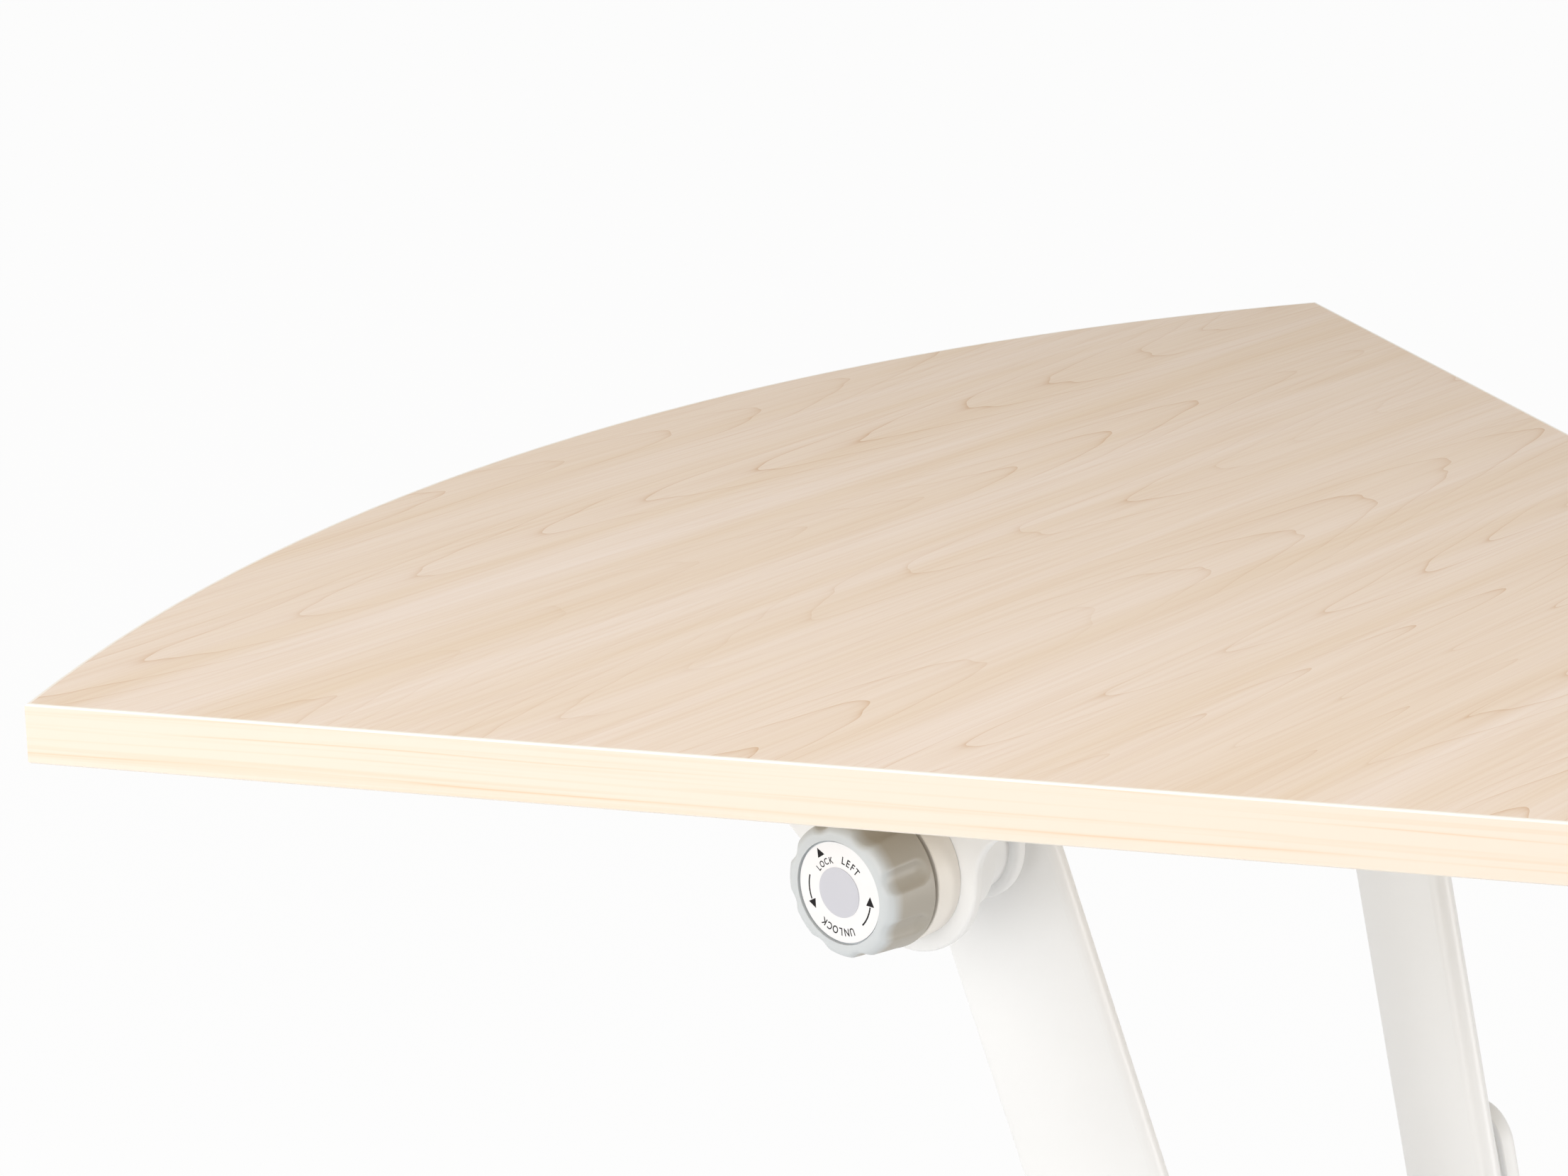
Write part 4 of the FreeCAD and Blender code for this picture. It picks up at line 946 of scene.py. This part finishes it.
class DESK_OT_pads(bpy.types.Operator):
    """Models the nesting pads on the outer faces of the legs"""

    bl_idname = "desk.pads"
    bl_label = "Nesting Pads"

    def execute(self, context):
        sizes, colours = context.scene.desk_sizes, context.scene.desk_colours
        white = grained("abs_moulded_white_pad", colours.powder_white, *MOULDED_ABS)
        first = nesting_pad(sizes)
        for side in SIDES:
            pad = joined([copied(first)], "nesting_pad_" + side)
            pad.matrix_world = pad_seat(side, sizes)
            bpy.ops.object.transform_apply(location=True, rotation=True, scale=True)
            coat(pad, white)
            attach(pad, "frame")
            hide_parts("nesting_bumper_" + side)
        bpy.data.objects.remove(first)
        return {"FINISHED"}


# The camera of the photograph. Places are in metres
CAMERA_PLACE = (-1.4151, -0.9969, 1.2799)
CAMERA_TURN = (math.radians(71.78), 0.0, math.radians(-47.88))
CAMERA_REACH = 60.0
SENSOR_WIDTH = 36.0
PURE_WHITE = (1.0, 1.0, 1.0, 1.0)
FLOOR_ROUGHNESS = 0.9

# The lamps: name, place, aim, side and watts
LAMPS = (
    ("key", (-3.2, -0.5, 1.5), (-0.2, 0.0, 0.55), 2.2, 48.0),
    ("back", (-2.5, 2.3, 0.7), (0.0, 0.0, 0.55), 1.3, 20.0),
    ("top", (-0.8, 0.1, 2.2), (-0.25, 0.1, 0.7), 1.4, 11.0),
    ("front", (-0.2, -1.4, 1.7), (0.0, -0.1, 0.7), 0.9, 6.5),
    ("right", (1.2, -2.2, 0.6), (0.1, 0.0, 0.5), 1.1, 16.5),
)


def seen_share(tree):
    """One for what the camera sees straight, mirrored or through glass, and zero for scattered light."""
    rays = add(tree, "ShaderNodeLightPath").outputs
    seen = add(tree, "ShaderNodeMath", {
        0: rays["Is Camera Ray"], 1: rays["Is Glossy Ray"],
    }, operation="MAXIMUM")
    seen = add(tree, "ShaderNodeMath", {
        0: seen.outputs[0], 1: rays["Is Transmission Ray"],
    }, operation="MAXIMUM")
    return seen.outputs[0]


class DESK_OT_stage(bpy.types.Operator):
    """Sets up the floor, the light and the camera"""

    bl_idname = "desk.stage"
    bl_label = "Stage"

    def execute(self, context):
        settings = context.scene.desk_stage
        self.floor(settings)
        self.sky(context.scene, settings)
        self.lamps()
        deselect()
        bpy.ops.object.camera_add(location=CAMERA_PLACE, rotation=CAMERA_TURN)
        camera = context.object
        camera.data.lens = settings.lens
        camera.data.sensor_width = SENSOR_WIDTH
        camera.data.sensor_fit = "HORIZONTAL"
        camera.data.clip_end = CAMERA_REACH
        context.scene.camera = camera
        context.scene.view_settings.view_transform = "Standard"
        return {"FINISHED"}

    def floor(self, settings):
        """A pale floor that shows as near white and keeps a trace of the desk's shadow."""
        deselect()
        bpy.ops.mesh.primitive_plane_add(size=settings.floor_size)
        floor = bpy.context.object
        floor.name = "studio_floor"
        material, tree, shader = new_finish("studio_floor_paint", settings.floor_paint, FLOOR_ROUGHNESS)
        glow = add(tree, "ShaderNodeEmission", {"Color": PURE_WHITE, "Strength": 1.0})
        white = add(tree, "ShaderNodeMath", {
            0: seen_share(tree), 1: settings.floor_white,
        }, operation="MULTIPLY")
        mixed = add(tree, "ShaderNodeMixShader", {
            0: white.outputs[0], 1: shader.outputs[0], 2: glow.outputs[0],
        })
        tree.links.new(mixed.outputs[0], tree.nodes["Material Output"].inputs["Surface"])
        floor.data.materials.append(material)

    def sky(self, scene, settings):
        """An even, slightly warm light from all round that shows as white."""
        world = bpy.data.worlds.new("studio_light")
        world.use_nodes = True
        scene.world = world
        tree = world.node_tree
        soft = tree.nodes["Background"]
        soft.inputs["Color"].default_value = opaque(settings.ambient_tint)
        soft.inputs["Strength"].default_value = settings.ambient
        white = add(tree, "ShaderNodeBackground", {
            "Color": PURE_WHITE, "Strength": settings.backdrop_white,
        })
        mixed = add(tree, "ShaderNodeMixShader", {
            0: seen_share(tree), 1: soft.outputs[0], 2: white.outputs[0],
        })
        tree.links.new(mixed.outputs[0], tree.nodes["World Output"].inputs["Surface"])

    def lamps(self):
        """Large soft lamps: the key left of the camera, one behind, one overhead and two in front."""
        for name, place, aim, size, watts in LAMPS:
            deselect()
            bpy.ops.object.light_add(type="AREA", location=place)
            lamp = bpy.context.object
            lamp.name = "studio_" + name
            lamp.data.shape = "SQUARE"
            lamp.data.size = size
            lamp.data.energy = watts
            lamp.visible_camera = False
            lamp.rotation_euler = (Vector(aim) - Vector(place)).to_track_quat("-Z", "Y").to_euler()


class DESK_PT_panel(bpy.types.Panel):
    """Lists the desk's finishes and pieces"""

    bl_idname = "DESK_PT_panel"
    bl_label = "Folding Corner Desk"
    bl_space_type = "VIEW_3D"
    bl_region_type = "UI"
    bl_category = "Desk"

    def draw(self, context):
        for operator in OPERATORS:
            self.layout.operator(operator.bl_idname)
        for group in (context.scene.desk_colours, context.scene.desk_sizes, context.scene.desk_stage):
            for name in group.__annotations__:
                self.layout.prop(group, name)


OPERATORS = (
    DESK_OT_board, DESK_OT_frame, DESK_OT_fittings, DESK_OT_dial_print, DESK_OT_screws, DESK_OT_welds,
    DESK_OT_pads, DESK_OT_stage,
)
CLASSES = (DeskColours, DeskSizes, DeskStage) + OPERATORS + (DESK_PT_panel,)


def register():
    """Adds the classes and the scene's settings."""
    for one in CLASSES:
        bpy.utils.register_class(one)
    bpy.types.Scene.desk_colours = bpy.props.PointerProperty(type=DeskColours)
    bpy.types.Scene.desk_sizes = bpy.props.PointerProperty(type=DeskSizes)
    bpy.types.Scene.desk_stage = bpy.props.PointerProperty(type=DeskStage)


def unregister():
    """Takes the classes and the scene's settings away."""
    del bpy.types.Scene.desk_stage
    del bpy.types.Scene.desk_sizes
    del bpy.types.Scene.desk_colours
    for one in reversed(CLASSES):
        bpy.utils.unregister_class(one)


def main():
    """Makes every piece in order."""
    register()
    bpy.ops.desk.board()
    bpy.ops.desk.frame()
    bpy.ops.desk.fittings()
    bpy.ops.desk.dial_print()
    bpy.ops.desk.screws()
    bpy.ops.desk.welds()
    bpy.ops.desk.pads()
    bpy.ops.desk.stage()


if __name__ == "__main__":
    main()
